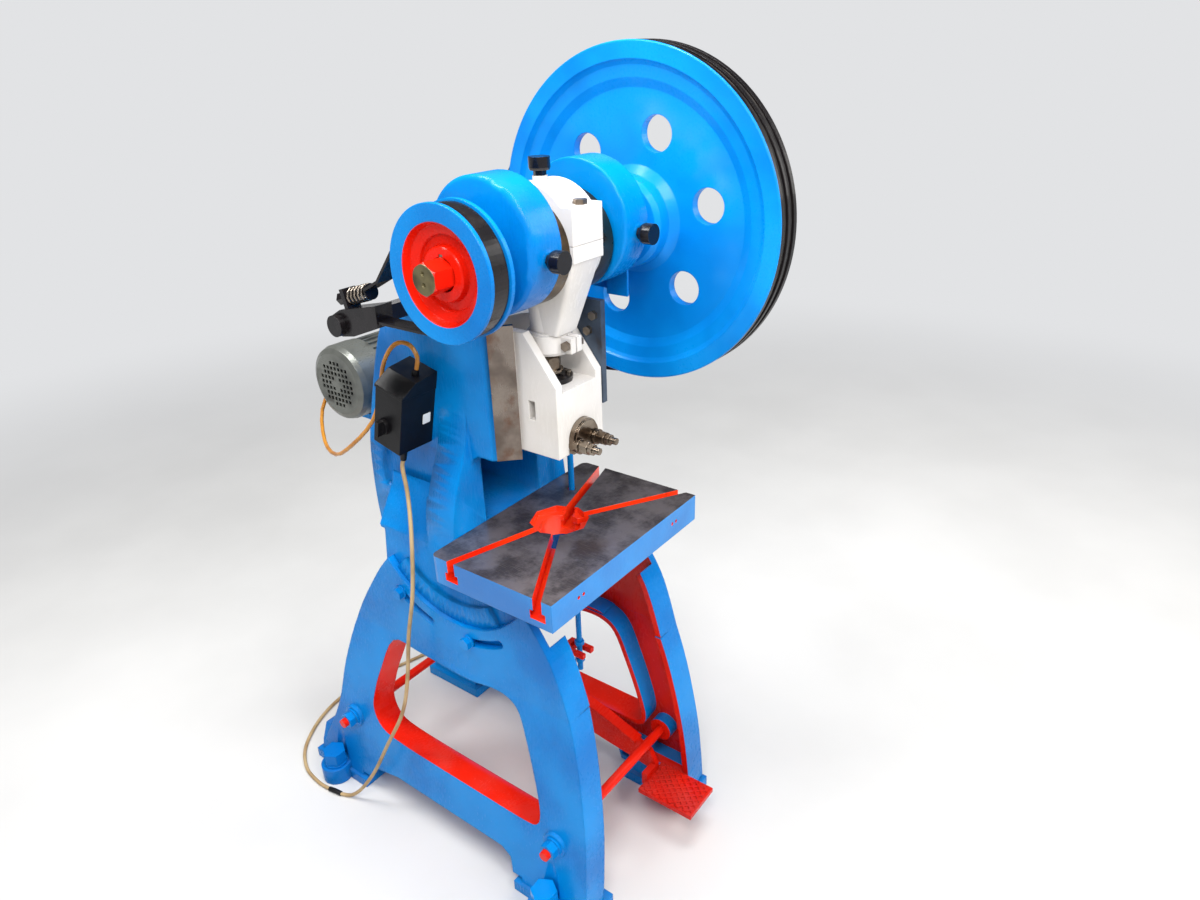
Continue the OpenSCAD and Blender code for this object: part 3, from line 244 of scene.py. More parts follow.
# %% A finish
class Finish:
    """A material whose nodes are made by one method."""

    def __init__(self, name):
        self.material = bpy.data.materials.new(name)
        self.material.use_nodes = True
        self.tree = self.material.node_tree
        self.tree.nodes.clear()
        self.place = self.node("ShaderNodeTexCoord", {}, {}, "Object")
        apart = self.node("ShaderNodeSeparateXYZ", {}, {0: self.place}, "X")
        self.x, self.y, self.z = apart, apart.out("Y"), apart.out("Z")
        facing = self.node("ShaderNodeSeparateXYZ", {}, {0: self.place.out("Normal")}, "X")
        self.nx, self.ny, self.nz = facing, facing.out("Y"), facing.out("Z")

    def node(self, kind, settings, inputs, output=0):
        """A node of one kind: its settings first, then a link or a value for each socket."""
        made = self.tree.nodes.new(kind)
        for key, value in settings.items():
            setattr(made, key, value)
        for key, value in inputs.items():
            if isinstance(value, Wire):
                self.tree.links.new(value.socket, made.inputs[key])
            else:
                made.inputs[key].default_value = value
        return Wire(self, made.outputs[output])

    def between(self, value, low, high):
        """0 below low, 1 above high and smooth in between."""
        return self.node("ShaderNodeMapRange", {"interpolation_type": "SMOOTHSTEP"},
                         {"Value": value, "From Min": low, "From Max": high})

    def inside(self, value, rise, fall):
        """1 between two soft edges, each given by where it starts and ends."""
        return self.between(value, *rise) * (1 - self.between(value, *fall))

    def blend(self, factor, first, second):
        return self.node("ShaderNodeMix", {"data_type": "RGBA"}, {0: factor, 6: first, 7: second}, 2)

    def noise(self, scale, detail=2.0, stretch=(1, 1, 1), shift=(0, 0, 0), rough=0.5):
        where = self.node("ShaderNodeMapping", {}, {
            "Vector": self.place, "Scale": stretch, "Location": shift})
        return self.node("ShaderNodeTexNoise", {}, {
            "Vector": where, "Scale": scale, "Detail": detail, "Roughness": rough})

    def bump(self, height, distance, strength, under):
        return self.node("ShaderNodeBump", {}, {
            "Height": height, "Distance": distance, "Strength": strength, "Normal": under})

    def rounded(self, radius):
        """A normal that looks as if sharp edges were rounded."""
        return self.node("ShaderNodeBevel", {"samples": 6}, {"Radius": radius})

    def done(self, colour, roughness, normal=None, metallic=0.0, coat=0.0, coat_rough=0.1, specular=0.5):
        """Ends the finish in one shader, and gives its material."""
        inputs = {"Base Color": colour, "Roughness": roughness, "Metallic": metallic,
                  "Coat Weight": coat, "Coat Roughness": coat_rough, "Specular IOR Level": specular}
        if normal is not None:
            inputs["Normal"] = normal
        shader = self.node("ShaderNodeBsdfPrincipled", {}, inputs)
        self.node_output = self.tree.nodes.new("ShaderNodeOutputMaterial")
        self.tree.links.new(shader.socket, self.node_output.inputs["Surface"])
        return self.material


# %% [markdown]
# Colours are easiest to judge as a picture editor shows them. A shader counts light
# itself, so each channel is turned from the one scale to the other.


# %% Colours
def paint(red, green, blue):
    """A colour as a picture editor shows it, 0 to 255, in the linear form that shaders use."""
    def channel(v):
        v = v / 255
        return v / 12.92 if v <= 0.04045 else ((v + 0.055) / 1.055) ** 2.4
    return (channel(red), channel(green), channel(blue), 1.0)


BLUE, DEEP_BLUE = paint(0, 138, 218), paint(0, 110, 190)
# The flywheel's pair is the body's blue painted lighter, for the light that falls on the wheel.
LIT_WHEEL_BLUE, DEEP_LIT_WHEEL_BLUE = paint(6, 152, 236), paint(0, 124, 208)
RED, DEEP_RED = paint(238, 34, 10), paint(204, 20, 6)
WHITE, OFF_WHITE = paint(238, 234, 230), paint(222, 216, 208)
# GRIME_AND_SHADE is grime in the table's slots, and grime with painted shade in the hollows of the enamel.
GRIME_AND_SHADE, DUST = paint(46, 36, 28), paint(120, 112, 104)
print("blue in linear light:", [round(v, 3) for v in BLUE[:3]])


# %% [markdown]
# ## Hand-brushed enamel
#
# The press was painted by brush over an old casting. Three things show it: slow changes
# of tone where the coat is thick or thin, fine strokes that follow the brush, and the
# skin of the casting under the paint. Areas of a second colour are masks made from
# the place on the part, so one finish covers one casting.

# %% Enamel
def enamel(name, light, deep, areas=None, edge=0.002, strokes=(5, 5, 1), cast=0.5, dust=0.0, gloss=0.26):
    """Enamel in two tones. areas gives masks with a second pair, and cast is how rough the casting is."""
    f = Finish(name)
    tone = f.between(f.noise(5.0, 3.0), 0.35, 0.7)
    stroke = f.noise(42.0, 3.0, strokes)
    colour = f.blend(tone, light, deep)
    rough = stroke * 0.16 + tone * 0.06 + (gloss - 0.1)
    if areas:
        for mask, first, second in areas(f):
            colour = f.blend(mask, colour, f.blend(tone, first, second))
    # Grime and painted shade: in patches, the enamel darkens in hollows and creases, where little of the
    # surroundings reaches.
    near_by = {"samples": 6, "only_local": True}
    open_air = f.node("ShaderNodeAmbientOcclusion", near_by, {"Distance": 0.018}, "AO")
    grime_and_shade = (1 - open_air) * f.between(f.noise(26.0, 4.0), 0.35, 0.75)
    colour = f.blend(grime_and_shade * 0.5, colour, GRIME_AND_SHADE)
    if dust:
        settled = f.between(f.nz, 0.5, 0.95) * f.between(f.noise(9.0, 4.0), 0.4, 0.8) * dust
        colour = f.blend(settled, colour, DUST)
        rough = rough + settled * 0.3
    skin = f.noise(150.0, 3.0) * 0.5 + f.noise(34.0, shift=(0.3, 0.1, 0)) * 1.5
    normal = f.bump(skin * cast + stroke * 0.5, 0.0009, 0.55, f.rounded(edge))
    return f.done(colour, rough, normal, coat=0.08, coat_rough=0.05, specular=0.16)


# %% [markdown]
# The stand is blue outside, and its windows and inner faces are red. A second material
# would need its own faces, so a mask does it: it takes the faces that look across the
# machine from the inner side, and those of the window, which look toward its middle.
# The rest of the castings and small parts are one colour each.

# %% Paint of the stand
WINDOW_SILL, WINDOW_HEAD = (0.172, 0.178), (0.452, 0.456)
WINDOW_FRONT, WINDOW_BACK = (-0.088, -0.084), (0.402, 0.406)
WINDOW_MIDDLE_Y, WINDOW_MIDDLE_Z = 0.155, 0.315
FOOT_TOP = (0.07, 0.075)


def stand_areas(f):
    inner = f.between(-(f.x.sign() * f.nx), 0.4, 0.7) * f.between(f.z, *FOOT_TOP)
    in_window = f.inside(f.z, WINDOW_SILL, WINDOW_HEAD) * f.inside(f.y, WINDOW_FRONT, WINDOW_BACK)
    toward_middle = -(f.ny * (f.y - WINDOW_MIDDLE_Y) + f.nz * (f.z - WINDOW_MIDDLE_Z) * 1.6)
    edge_on = 1 - f.between(abs(f.nx), 0.3, 0.5)
    window = in_window * edge_on * f.between(toward_middle, 0.0, 0.02)
    return [(inner.most(window), RED, DEEP_RED)]


stand_blue = enamel("stand_enamel", BLUE, DEEP_BLUE, stand_areas, 0.005, (3, 5, 2), cast=1.2, dust=0.25)
frame_blue = enamel("body_enamel", BLUE, DEEP_BLUE, None, 0.006, (5, 5, 1), cast=1.1, dust=0.15)
small_blue = enamel("small_part_enamel", BLUE, DEEP_BLUE, None, 0.0015, (5, 5, 5))
red_enamel = enamel("red_enamel", RED, DEEP_RED, None, 0.002, (1, 5, 5), cast=0.8, dust=0.2)
white_enamel = enamel("white_enamel", WHITE, OFF_WHITE, None, 0.0025, (4, 4, 1), gloss=0.24)
print("nodes in the stand's enamel:", len(stand_blue.node_tree.nodes))

# %% [markdown]
# The flywheel's rim is black with two belt grooves. Its blue is painted lighter than the
# body's, for the light that falls on the wheel, and its disc carries a painted sheen, paler
# in patches round the holes. The drum's well is red. All of it is round, so the masks use
# the distance from the shaft, whose height is the middle of the flywheel's box.

# %% Paint of the flywheel and the brake drum
low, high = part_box("flywheel")
SHAFT_Z = round((low.z + high.z) / 2, 4)
RIM_SIDE, GROOVE_FLOOR = (0.2935, 0.2945), (0.278, 0.2785)
DRUM_END, DRUM_WELL = (-0.2015, -0.201), (0.0745, 0.0755)


def from_shaft(f):
    dz = f.z - SHAFT_Z
    return (f.y * f.y + dz * dz) ** 0.5


def wheel_areas(f):
    r = from_shaft(f)
    rim = f.between(r, *RIM_SIDE) * f.between(f.x, 0.2455, 0.246)
    grooves = f.between(r, *GROOVE_FLOOR) * f.inside(f.x, (0.2475, 0.248), (0.2985, 0.299))
    # haze is a painted sheen: paler patches on the disc round the holes.
    haze = f.inside(r, (0.10, 0.15), (0.17, 0.225)) * f.between(f.noise(7.0, 3.0), 0.48, 0.72) * 0.35
    return [(haze, paint(120, 176, 214), paint(96, 160, 208)),
            (rim.most(grooves), paint(22, 18, 20), paint(14, 12, 14))]


def drum_areas(f):
    well = (1 - f.between(f.x, *DRUM_END)) * (1 - f.between(from_shaft(f), *DRUM_WELL))
    return [(well, RED, DEEP_RED)]


wheel_blue = enamel("flywheel_enamel", LIT_WHEEL_BLUE, DEEP_LIT_WHEEL_BLUE, wheel_areas, 0.003, (1, 4, 4),
                    cast=0.6, gloss=0.3)
drum_blue = enamel("drum_enamel", BLUE, DEEP_BLUE, drum_areas, 0.002, (1, 4, 4))
print("shaft height:", SHAFT_Z, "m")

# %% [markdown]
# ## Table
#
# The table's top is bare iron, dark with oil and crossed by fine machining marks. Its
# sides are blue, and the T-slots and the sunk octagon are red. The top is the highest
# level, the sides are the faces on the outline, and all the rest is slot. The levels come
# from the box of the table's solid.

# %% Table finish
def table_sides(f, low, high):
    """1 on the blue faces: both ends, the front, the back with its rounded corners, and the underside."""
    ends = f.between(abs(f.nx), 0.97, 0.99) * f.between(abs(f.x), high.x - 0.0015, high.x - 0.0005)
    front = 1 - f.between(f.y, low.y + 0.0002, low.y + 0.0005)
    back = f.between(f.y, high.y - 0.012, high.y - 0.0115) * f.between(f.ny, 0.1, 0.2)
    upright = 1 - f.between(abs(f.nz), 0.2, 0.4)
    under = f.between(-f.nz, 0.7, 0.9) * (1 - f.between(f.z, low.z + 0.0002, low.z + 0.0006))
    return (ends.most(front + back) * upright).most(under)


def table_finish():
    f = Finish("table_iron")
    low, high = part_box("table_plate")
    top = f.between(f.z, high.z - 0.0007, high.z - 0.0003) * f.between(f.nz, 0.7, 0.9)
    marks = f.noise(30.0, 3.0, (26, 1.2, 1), rough=0.7)
    swirl = f.noise(12.0, 5.0, (1, 1, 1), (2, 0, 0), 0.65)
    oily = f.between(swirl, 0.4, 0.62)
    iron = f.blend(oily, paint(128, 120, 122), paint(72, 66, 68))
    iron = f.blend(f.between(marks, 0.5, 0.75) * 0.55, iron, paint(140, 132, 128))
    rust = f.between(f.noise(5.0, 4.0, shift=(4, 1, 0)), 0.56, 0.7) * 0.5
    iron = f.blend(rust, iron, paint(84, 62, 50))
    tone = f.between(f.noise(6.0, 3.0), 0.35, 0.7)
    slot = f.blend(tone, paint(255, 66, 22), paint(232, 38, 12))
    slot = f.blend(f.between(f.noise(60.0, 4.0), 0.58, 0.78) * 0.4, slot, GRIME_AND_SHADE)
    colour = f.blend(table_sides(f, low, high), slot, f.blend(tone, BLUE, DEEP_BLUE))
    colour = f.blend(top, colour, iron)
    rough = (1 - top) * 0.28 + top * (0.3 + oily * 0.12)
    height = top * (marks * 0.6 + swirl * 0.6) + (1 - top) * f.noise(120.0, 3.0)
    normal = f.bump(height, 0.0006, 0.5, f.rounded(0.0018))
    return f.done(colour, rough, normal, metallic=top * 0.55, coat=0.2)


table_iron = table_finish()
print("nodes in the table's finish:", len(table_iron.node_tree.nodes))

# %% [markdown]
# ## Bare metals
#
# Old steel in a workshop is brown-grey: oil, a little rust and long scratches from the
# last machining. The scratches run along the piece, so the noise is stretched. One
# function makes all the metals, because they differ only in colour, grain and shine.

# %% Steel, iron, bronze
def metal(name, light, deep, stain, stretch=(1, 1, 1), rough=0.34, edge=0.0008, metallic=1.0):
    f = Finish(name)
    long_marks = f.noise(70.0, 3.0, stretch, rough=0.7)
    cloud = f.between(f.noise(14.0, 4.0), 0.4, 0.7)
    colour = f.blend(cloud, light, deep)
    spots = f.between(f.noise(24.0, 5.0, shift=(1, 3, 2)), 0.52, 0.72) * 0.7
    colour = f.blend(spots, colour, stain)
    normal = f.bump(long_marks + f.noise(160.0) * 0.5, 0.0003, 0.5, f.rounded(edge))
    return f.done(colour, cloud * 0.16 + long_marks * 0.14 + (rough - 0.14), normal, metallic=metallic)


steel = metal("oily_steel", paint(168, 158, 146), paint(122, 108, 94), paint(84, 58, 40))
gib_steel = metal("ground_steel", paint(158, 146, 136), paint(112, 100, 92), paint(110, 66, 40),
                  (9, 9, 0.5), rough=0.3)
shaft_steel = metal("shaft_steel", paint(112, 96, 76), paint(84, 70, 54), paint(54, 42, 32))
turned_steel = metal("turned_steel", paint(150, 138, 124), paint(112, 98, 84), paint(78, 56, 40),
                     (1, 9, 1), rough=0.26, edge=0.0012)
bronze = metal("bronze", paint(176, 134, 74), paint(128, 92, 48), paint(70, 48, 30))
motor_grey = metal("motor_casting", paint(122, 124, 118), paint(88, 90, 86), paint(60, 56, 50),
                   (1, 6, 6), rough=0.36, edge=0.0015, metallic=0.5)
dark_guide = metal("dark_guide", paint(74, 88, 106), paint(50, 60, 76), paint(58, 48, 42),
                   (6, 6, 1), rough=0.4, edge=0.001, metallic=0.4)
print("materials so far:", len(bpy.data.materials))

# %% [markdown]
# ## Plastic, rubber and black paint
#
# These are plain surfaces, mostly dark, and what makes them real is small: a fine grain,
# a shine that changes in slow patches, and dust on what faces up.

# %% Plastic, rubber and black paint
def plain(name, light, deep, rough, grain=180.0, depth=0.0002, coat=0.0, dust=0.3):
    f = Finish(name)
    cloud = f.between(f.noise(18.0, 4.0), 0.35, 0.7)
    settled = f.between(f.nz, 0.3, 0.9) * f.between(f.noise(30.0, 4.0), 0.4, 0.8) * dust
    colour = f.blend(settled, f.blend(cloud, light, deep), paint(128, 118, 106))
    normal = f.bump(f.noise(grain, 3.0), depth, 0.6, f.rounded(0.001))
    return f.done(colour, cloud * 0.14 + (rough - 0.07) + settled * 0.2, normal, coat=coat, specular=0.28)


black_plastic = plain("black_plastic", paint(14, 13, 16), paint(8, 8, 10), 0.38, dust=0.06)
cap_plastic = plain("cap_plastic", paint(18, 17, 22), paint(10, 10, 13), 0.26, coat=0.2, dust=0.05)
black_paint = plain("black_paint", paint(26, 22, 24), paint(14, 12, 14), 0.28, 90.0, 0.0006, 0.2, 0.08)
belt_rubber = plain("belt_rubber", paint(34, 32, 32), paint(22, 20, 20), 0.7, 260.0, 0.0003)
lead_sheath = plain("amber_lead", paint(204, 138, 48), paint(168, 104, 30), 0.3, 60.0, coat=0.3, dust=0.1)
cord_sheath = plain("cord_sheath", paint(196, 168, 124), paint(160, 130, 90), 0.5, 120.0, 0.0003, dust=0.15)
blank_white = plain("blank_tab", paint(236, 236, 232), paint(220, 220, 214), 0.5, 200.0, 0.0001, dust=0.1)
print("materials so far:", len(bpy.data.materials))

# %% [markdown]
# ## Who wears what
#
# The solids that stay as they are only need a finish in their material slot. One table
# from finish to solids keeps the whole paint job in view, and the last line says
# whether a solid was forgotten.

# %% Give every solid its finish
finishes = {
    stand_blue: ["left_leg", "right_leg"],
    small_blue: ["tie_rod_nuts", "anchor_bolts", "tilt_bolts", "motor_bracket", "clutch_sleeve",
                 "pull_rod", "pull_rod_nuts", "trip_bracket", "trip_lever"],
    frame_blue: ["press_frame"],
    red_enamel: ["front_tie_rod", "rear_tie_rod", "pedal"],
    wheel_blue: ["flywheel"],
    drum_blue: ["brake_drum"],
    white_enamel: ["conrod", "strap_cap", "ram"],
    table_iron: ["table_plate"],
    steel: ["gib_bolts", "drum_key", "strap_bolts", "clamp_bolt", "ball_screw", "retainer_screws",
            "brake_spring"],
    turned_steel: ["tool_clamp", "clamp_studs"],
    shaft_steel: ["crankshaft"],
    gib_steel: ["left_gib"],
    dark_guide: ["right_gib"],
    bronze: ["main_bushes", "flywheel_bush"],
    motor_grey: ["motor_body", "fan_cover", "terminal_box"],
    black_plastic: ["switch_box", "switch_lid", "switch_knob", "box_glands", "cord_joint", "plug"],
    cap_plastic: ["left_cup_stem", "left_cup_cap", "right_cup_stem", "right_cup_cap", "top_cup_stem",
                  "top_cup_cap"],
    black_paint: ["motor_pulley", "brake_band", "brake_tension", "shaft_retainer", "ball_retainer"],
    belt_rubber: ["v_belts"],
    lead_sheath: ["motor_lead"],
    cord_sheath: ["supply_cord", "cord_coil"],
}
dressed = set()
for finish, names in finishes.items():
    for name in names:
        nodes[name].data.materials.clear()
        nodes[name].data.materials.append(finish)
        dressed.add(name)
cord.data.materials.append(cord_sheath)
print("dressed:", len(dressed), "left out:", sorted(set(nodes) - dressed))

# %% [markdown]
# ## Modelling by hand
#
# The CAD gives the big shapes. Nuts with chamfers, threads and a rounded wedge are quicker
# to model here, with the same tools as by mouse: add a primitive, pick edges or
# faces, bevel, cut and join. Each piece ends with its place in its mesh, and rides on
# the body that carries it.

# %% Pick a part of a mesh and shape it
def pick(piece, kind, test):
    """Opens a piece for editing, with what passes a test on its middle selected. kind is VERT or EDGE."""
    take(piece)
    bpy.ops.object.mode_set(mode="EDIT")
    bpy.ops.mesh.select_mode(type=kind)
    bpy.ops.mesh.select_all(action="DESELECT")
    bpy.ops.object.mode_set(mode="OBJECT")
    points = piece.data.vertices
    for item in points if kind == "VERT" else piece.data.edges:
        corners = [item.co] if kind == "VERT" else [points[i].co for i in item.vertices]
        item.select = bool(test(sum(corners, Vector()) / len(corners)))
    bpy.ops.object.mode_set(mode="EDIT")


def edit(operator, **settings):
    """Runs an operator on what is picked, and closes the piece."""
    operator(**settings)
    bpy.ops.object.mode_set(mode="OBJECT")


def edit_all(piece, operator, **settings):
    """Runs an operator on the whole mesh of a piece."""
    take(piece)
    bpy.ops.object.mode_set(mode="EDIT")
    bpy.ops.mesh.select_all(action="SELECT")
    edit(operator, **settings)


def bevel(width, rounds):
    edit(bpy.ops.mesh.bevel, offset=width, segments=rounds, affect="EDGES")


# %% [markdown]
# A primitive is only a start. It comes at its size and place, and its place, turn and
# size then go into its mesh, because a finished piece sits at the origin unturned. Two
# pieces become one by a Boolean modifier, which adds, cuts or keeps what they share.

# %% Start, move and combine pieces
def settled():
    """Puts the selected piece's place, turn and size into its mesh."""
    bpy.ops.object.transform_apply(location=True, rotation=True, scale=True)
    return bpy.context.object


def combine(piece, other, operation):
    """Applies a Boolean modifier to the piece. The other piece is used up."""
    take(piece)
    change = piece.modifiers.new("combine", "BOOLEAN")
    change.operation, change.object, change.solver = operation, other, "EXACT"
    bpy.ops.object.modifier_apply(modifier=change.name)
    bpy.data.objects.remove(other)


def block(low, high):
    """A box between two corners."""
    start_clean()
    low, high = Vector(low), Vector(high)
    bpy.ops.mesh.primitive_cube_add(size=1, location=(low + high) / 2)
    bpy.context.object.scale = high - low
    return settled()


def rod(radius, low, high, sides=48):
    """An upright cylinder on the Z axis from low to high."""
    start_clean()
    bpy.ops.mesh.primitive_cylinder_add(
        vertices=sides, radius=radius, depth=high - low, location=(0, 0, (low + high) / 2))
    return settled()


def move(piece, place, turn=(0, 0, 0)):
    take(piece)
    piece.location, piece.rotation_euler = place, turn
    return settled()


def join(*pieces):
    take(*pieces)
    bpy.ops.object.join()
    return pieces[0]


# %% [markdown]
# The last steps are the same for every piece: its name, smooth shading up to an angle, its
# finish, the body that carries it, and the solids that it stands for.

# %% Finish a piece
def dress(piece, name, body, finish, stands_for=()):
    take(piece)
    piece.name = piece.data.name = name
    bpy.ops.object.shade_smooth_by_angle(angle=math.radians(32))
    piece.data.materials.clear()
    piece.data.materials.append(finish)
    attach(piece, body)
    if stands_for:
        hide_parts(*stands_for)
    print(name, "faces:", len(piece.data.polygons))


# %% [markdown]
# ## Nuts and threads
#
# A hexagon nut is what a hexagon bar and a turned blank have in common: the bar gives the
# six flats, and the blank's chamfers take the corners off at both ends. So it is made as
# the common space of the two. A thread is one tooth that winds up: the Screw modifier
# turns it round the axis and lifts it by the pitch at each turn, and two flat cuts give
# it its length.

# %% A nut and a thread
def hex_nut(flats, height):
    """A nut on the Z axis that stands on z = 0."""
    corner = flats / math.sqrt(3)
    turned = rod(corner, 0, height)
    ends = height / 2 - 1e-6
    pick(turned, "EDGE", lambda m: abs(m.z - height / 2) > ends and m.xy.length > corner * 0.9)
    bevel((corner - flats / 2) * 1.15, 1)
    combine(turned, rod(corner * 1.0001, -0.001, height + 0.001, 6), "INTERSECT")
    return turned


def thread(radius, pitch, length):
    """A threaded rod on the Z axis from z = 0: one tooth, wound up by the Screw modifier and cut off flat."""
    start_clean()
    root = radius - pitch * 0.5
    bpy.ops.mesh.primitive_circle_add(
        vertices=4, radius=pitch / 2, location=(root, 0, -pitch), rotation=(math.pi / 2, 0, 0))
    tooth = settled()
    pick(tooth, "VERT", lambda m: m.x < root - pitch * 0.3)
    edit(bpy.ops.mesh.delete, type="VERT")
    wind = tooth.modifiers.new("wind", "SCREW")
    wind.axis, wind.screw_offset, wind.angle = "Z", pitch, math.tau
    wind.iterations, wind.steps, wind.render_steps = int(length / pitch) + 3, 24, 24
    wind.use_merge_vertices, wind.merge_threshold = True, pitch * 0.02
    bpy.ops.object.modifier_apply(modifier=wind.name)
    for height, upward in ((0, 1), (length, -1)):
        edit_all(tooth, bpy.ops.mesh.bisect, plane_co=(0, 0, height), plane_no=(0, 0, upward),
                 use_fill=True, clear_inner=True)
    edit_all(tooth, bpy.ops.mesh.normals_make_consistent, inside=False)
    return tooth


# %% [markdown]
# ## Tool clamp studs
#
# Two studs stand out of the clamp at the foot of the ram. Each carries a washer, a long
# hexagon nut and a jam nut behind it, and the end of its thread shows. They are rooted
# where their plain solids are, and the second one is the first one on the other side.

# %% Studs, washers and nuts
low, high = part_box("clamp_studs")
STUD_X, STUD_ROOT_Y, STUD_Z = 0.024, high.y, (low.z + high.z) / 2


def stud(x):
    """One stud. It is built upright from z = 0, and then laid so that it points at the operator."""
    core = rod(0.0059, 0, 0.092, 32)
    washer = move(rod(0.0138, 0, 0.003), (0, 0, 0.0961))
    long_nut = move(hex_nut(0.022, 0.017), (0, 0, 0.0992))
    jam_nut = move(hex_nut(0.019, 0.009), (0, 0, 0.1165))
    end = move(thread(0.0062, 0.0018, 0.0475), (0, 0, 0.0905))
    made = join(core, washer, long_nut, jam_nut, end)
    return move(made, (x, STUD_ROOT_Y, STUD_Z), (math.pi / 2, 0, 0))


studs = join(stud(-STUD_X), stud(STUD_X))
dress(studs, "clamp_stud_set", "ram", turned_steel, ["clamp_studs"])

# %% [markdown]
# ## Ball screw
#
# The depth of the stroke is set with this screw: a coarse thread goes up into the rod, a
# big hexagon takes the wrench, and under its collar a thinner neck leads to the ball.

# %% Ball screw
BALL_Z, NECK_TOP, COLLAR_LOW, HEXAGON_LOW, THREAD_LOW = 1.0, 1.034, 1.0325, 1.0385, 1.0545
coarse_thread = move(thread(0.0143, 0.004, 0.018), (0, 0, THREAD_LOW))
shank = rod(0.0136, 1.066, 1.138)
hexagon = move(hex_nut(0.032, 0.022), (0, 0, HEXAGON_LOW))
collar = rod(0.021, COLLAR_LOW, HEXAGON_LOW)
neck = rod(0.009, 1.008, NECK_TOP)
start_clean()
bpy.ops.mesh.primitive_uv_sphere_add(segments=48, ring_count=24, radius=0.016, location=(0, 0, BALL_Z))
screw = join(coarse_thread, shank, hexagon, collar, neck, settled())
dress(screw, "ball_screw_threaded", "ball_screw", turned_steel, ["ball_screw"])

# %% [markdown]
# ## Connecting rod
#
# Below the strap the rod is a broad wedge: its front face runs straight down from the
# strap's block to the collar, and both flanks draw in. It starts as a box. Its lower front
# vertices move back and its lower ones draw in, its edges are rounded, and the bore of
# the eccentric, which sits its throw above the shaft, is cut out of it.

# %% Wedge of the rod
WEDGE_LOW, WEDGE_HIGH, FRONT_LEAN, NARROWING = 1.106, 1.233, 0.048, 0.74
THROW = 0.0125
wedge = block((-0.0375, -0.0885, WEDGE_LOW), (0.0375, 0.004, WEDGE_HIGH))
pick(wedge, "VERT", lambda m: m.z < WEDGE_LOW + 0.004 and m.y < -0.05)
edit(bpy.ops.transform.translate, value=(0, FRONT_LEAN, 0))
pick(wedge, "VERT", lambda m: m.z < WEDGE_LOW + 0.004)
edit(bpy.ops.transform.resize, value=(NARROWING, 1, 1), center_override=(0, 0, WEDGE_LOW))
pick(wedge, "EDGE", lambda m: 1.12 < m.z < 1.22 and m.y < -0.02)
bevel(0.007, 4)
bore = move(rod(0.066, -0.1, 0.1, 96), (0, 0, SHAFT_Z + THROW), (0, math.pi / 2, 0))
combine(wedge, bore, "DIFFERENCE")
dress(wedge, "rod_wedge", "conrod", white_enamel)

# %% [markdown]
# ## Hub nut
#
# The drum is held by a big hexagon. Its flats were painted red with the drum, and the
# brush stopped at the end face, which is bare and has two centre holes. The holes are
# cones that are cut out, and the bare end is a mask by place.

# %% Hub nut
HUB_FLATS, HUB_LENGTH, HUB_STANDS_OUT = 0.0434, 0.048, 0.0175
HUB_END_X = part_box("crankshaft")[0].x - HUB_STANDS_OUT
hub = move(hex_nut(HUB_FLATS, HUB_LENGTH), (0, 0, 0), (0, 0, math.pi / 6))
for centre in (-0.009, 0.007):
    start_clean()
    bpy.ops.mesh.primitive_cone_add(
        vertices=32, radius1=0.0042, radius2=0.0006, depth=0.007, location=(centre, 0, 0.0025))
    combine(hub, settled(), "DIFFERENCE")


def hub_finish():
    f = Finish("hub_nut_finish")
    end_face = 1 - f.between(f.x, HUB_END_X + 0.0009, HUB_END_X + 0.0017)
    bare = end_face.most(1 - f.between(from_shaft(f), 0.0155, 0.016))
    bare_metal = f.blend(f.between(f.noise(30.0, 4.0), 0.4, 0.7), paint(112, 104, 72), paint(76, 70, 50))
    red = f.blend(f.between(f.noise(12.0, 3.0), 0.35, 0.7), RED, DEEP_RED)
    normal = f.bump(f.noise(120.0, 3.0), 0.0004, 0.5, f.rounded(0.001))
    return f.done(f.blend(bare, red, bare_metal), 0.26 + bare * 0.14, normal, metallic=bare * 0.5)


move(hub, (HUB_END_X, 0, SHAFT_Z), (0, math.pi / 2, 0))
dress(hub, "hub_nut", "crankshaft", hub_finish())

# %% [markdown]
# ## Trimmed castings
#
# A CAD solid is never changed here, but a copy may be, and then it stands for the solid.
# The swivel cheeks lose their upper rear corners to a block with a slanted side. A copy
# of a CAD mesh is loose triangles, so its doubles are merged before the cut.

# %% Copy a solid and trim the cheeks
def copy_of(node):
    """A copy of a solid with its own mesh, and with its doubles merged."""
    made = nodes[node].copy()
    made.data = nodes[node].data.copy()
    made.parent = None
    bpy.context.scene.collection.objects.link(made)
    edit_all(made, bpy.ops.mesh.remove_doubles, threshold=1e-6)
    return made


CHEEK_X, CORNER_Y, CORNER_Z, CORNER_LEAN = (0.1175, 0.172), (0.309, 0.42), (0.598, 0.7), 0.012
casting = copy_of("press_frame")
for side in (-1, 1):
    low_x, high_x = sorted(side * x for x in CHEEK_X)
    corner = block((low_x, CORNER_Y[0], CORNER_Z[0]), (high_x, CORNER_Y[1], CORNER_Z[1]))
    pick(corner, "VERT", lambda m: m.z < 0.61 and m.y < 0.35)
    edit(bpy.ops.transform.translate, value=(0, CORNER_LEAN, 0))
    combine(casting, corner, "DIFFERENCE")
dress(casting, "body_casting", "frame", frame_blue, ["press_frame"])

# %% [markdown]
# The cuts leave long thin triangles, and light breaks on them. A Weighted Normal modifier
# lets the big flat faces decide how the surface is shaded, and keeps the sharp edges.

# %% Even out the casting's shading
even = casting.modifiers.new("even", "WEIGHTED_NORMAL")
even.keep_sharp = True
bpy.ops.object.modifier_apply(modifier=even.name)
print("casting's own normals:", casting.data.has_custom_normals)

# %% [markdown]
# The plate under the motor is shorter than its solid. One flat cut is enough, so this
# copy is bisected: what lies beyond the plane goes, and the cut is filled.

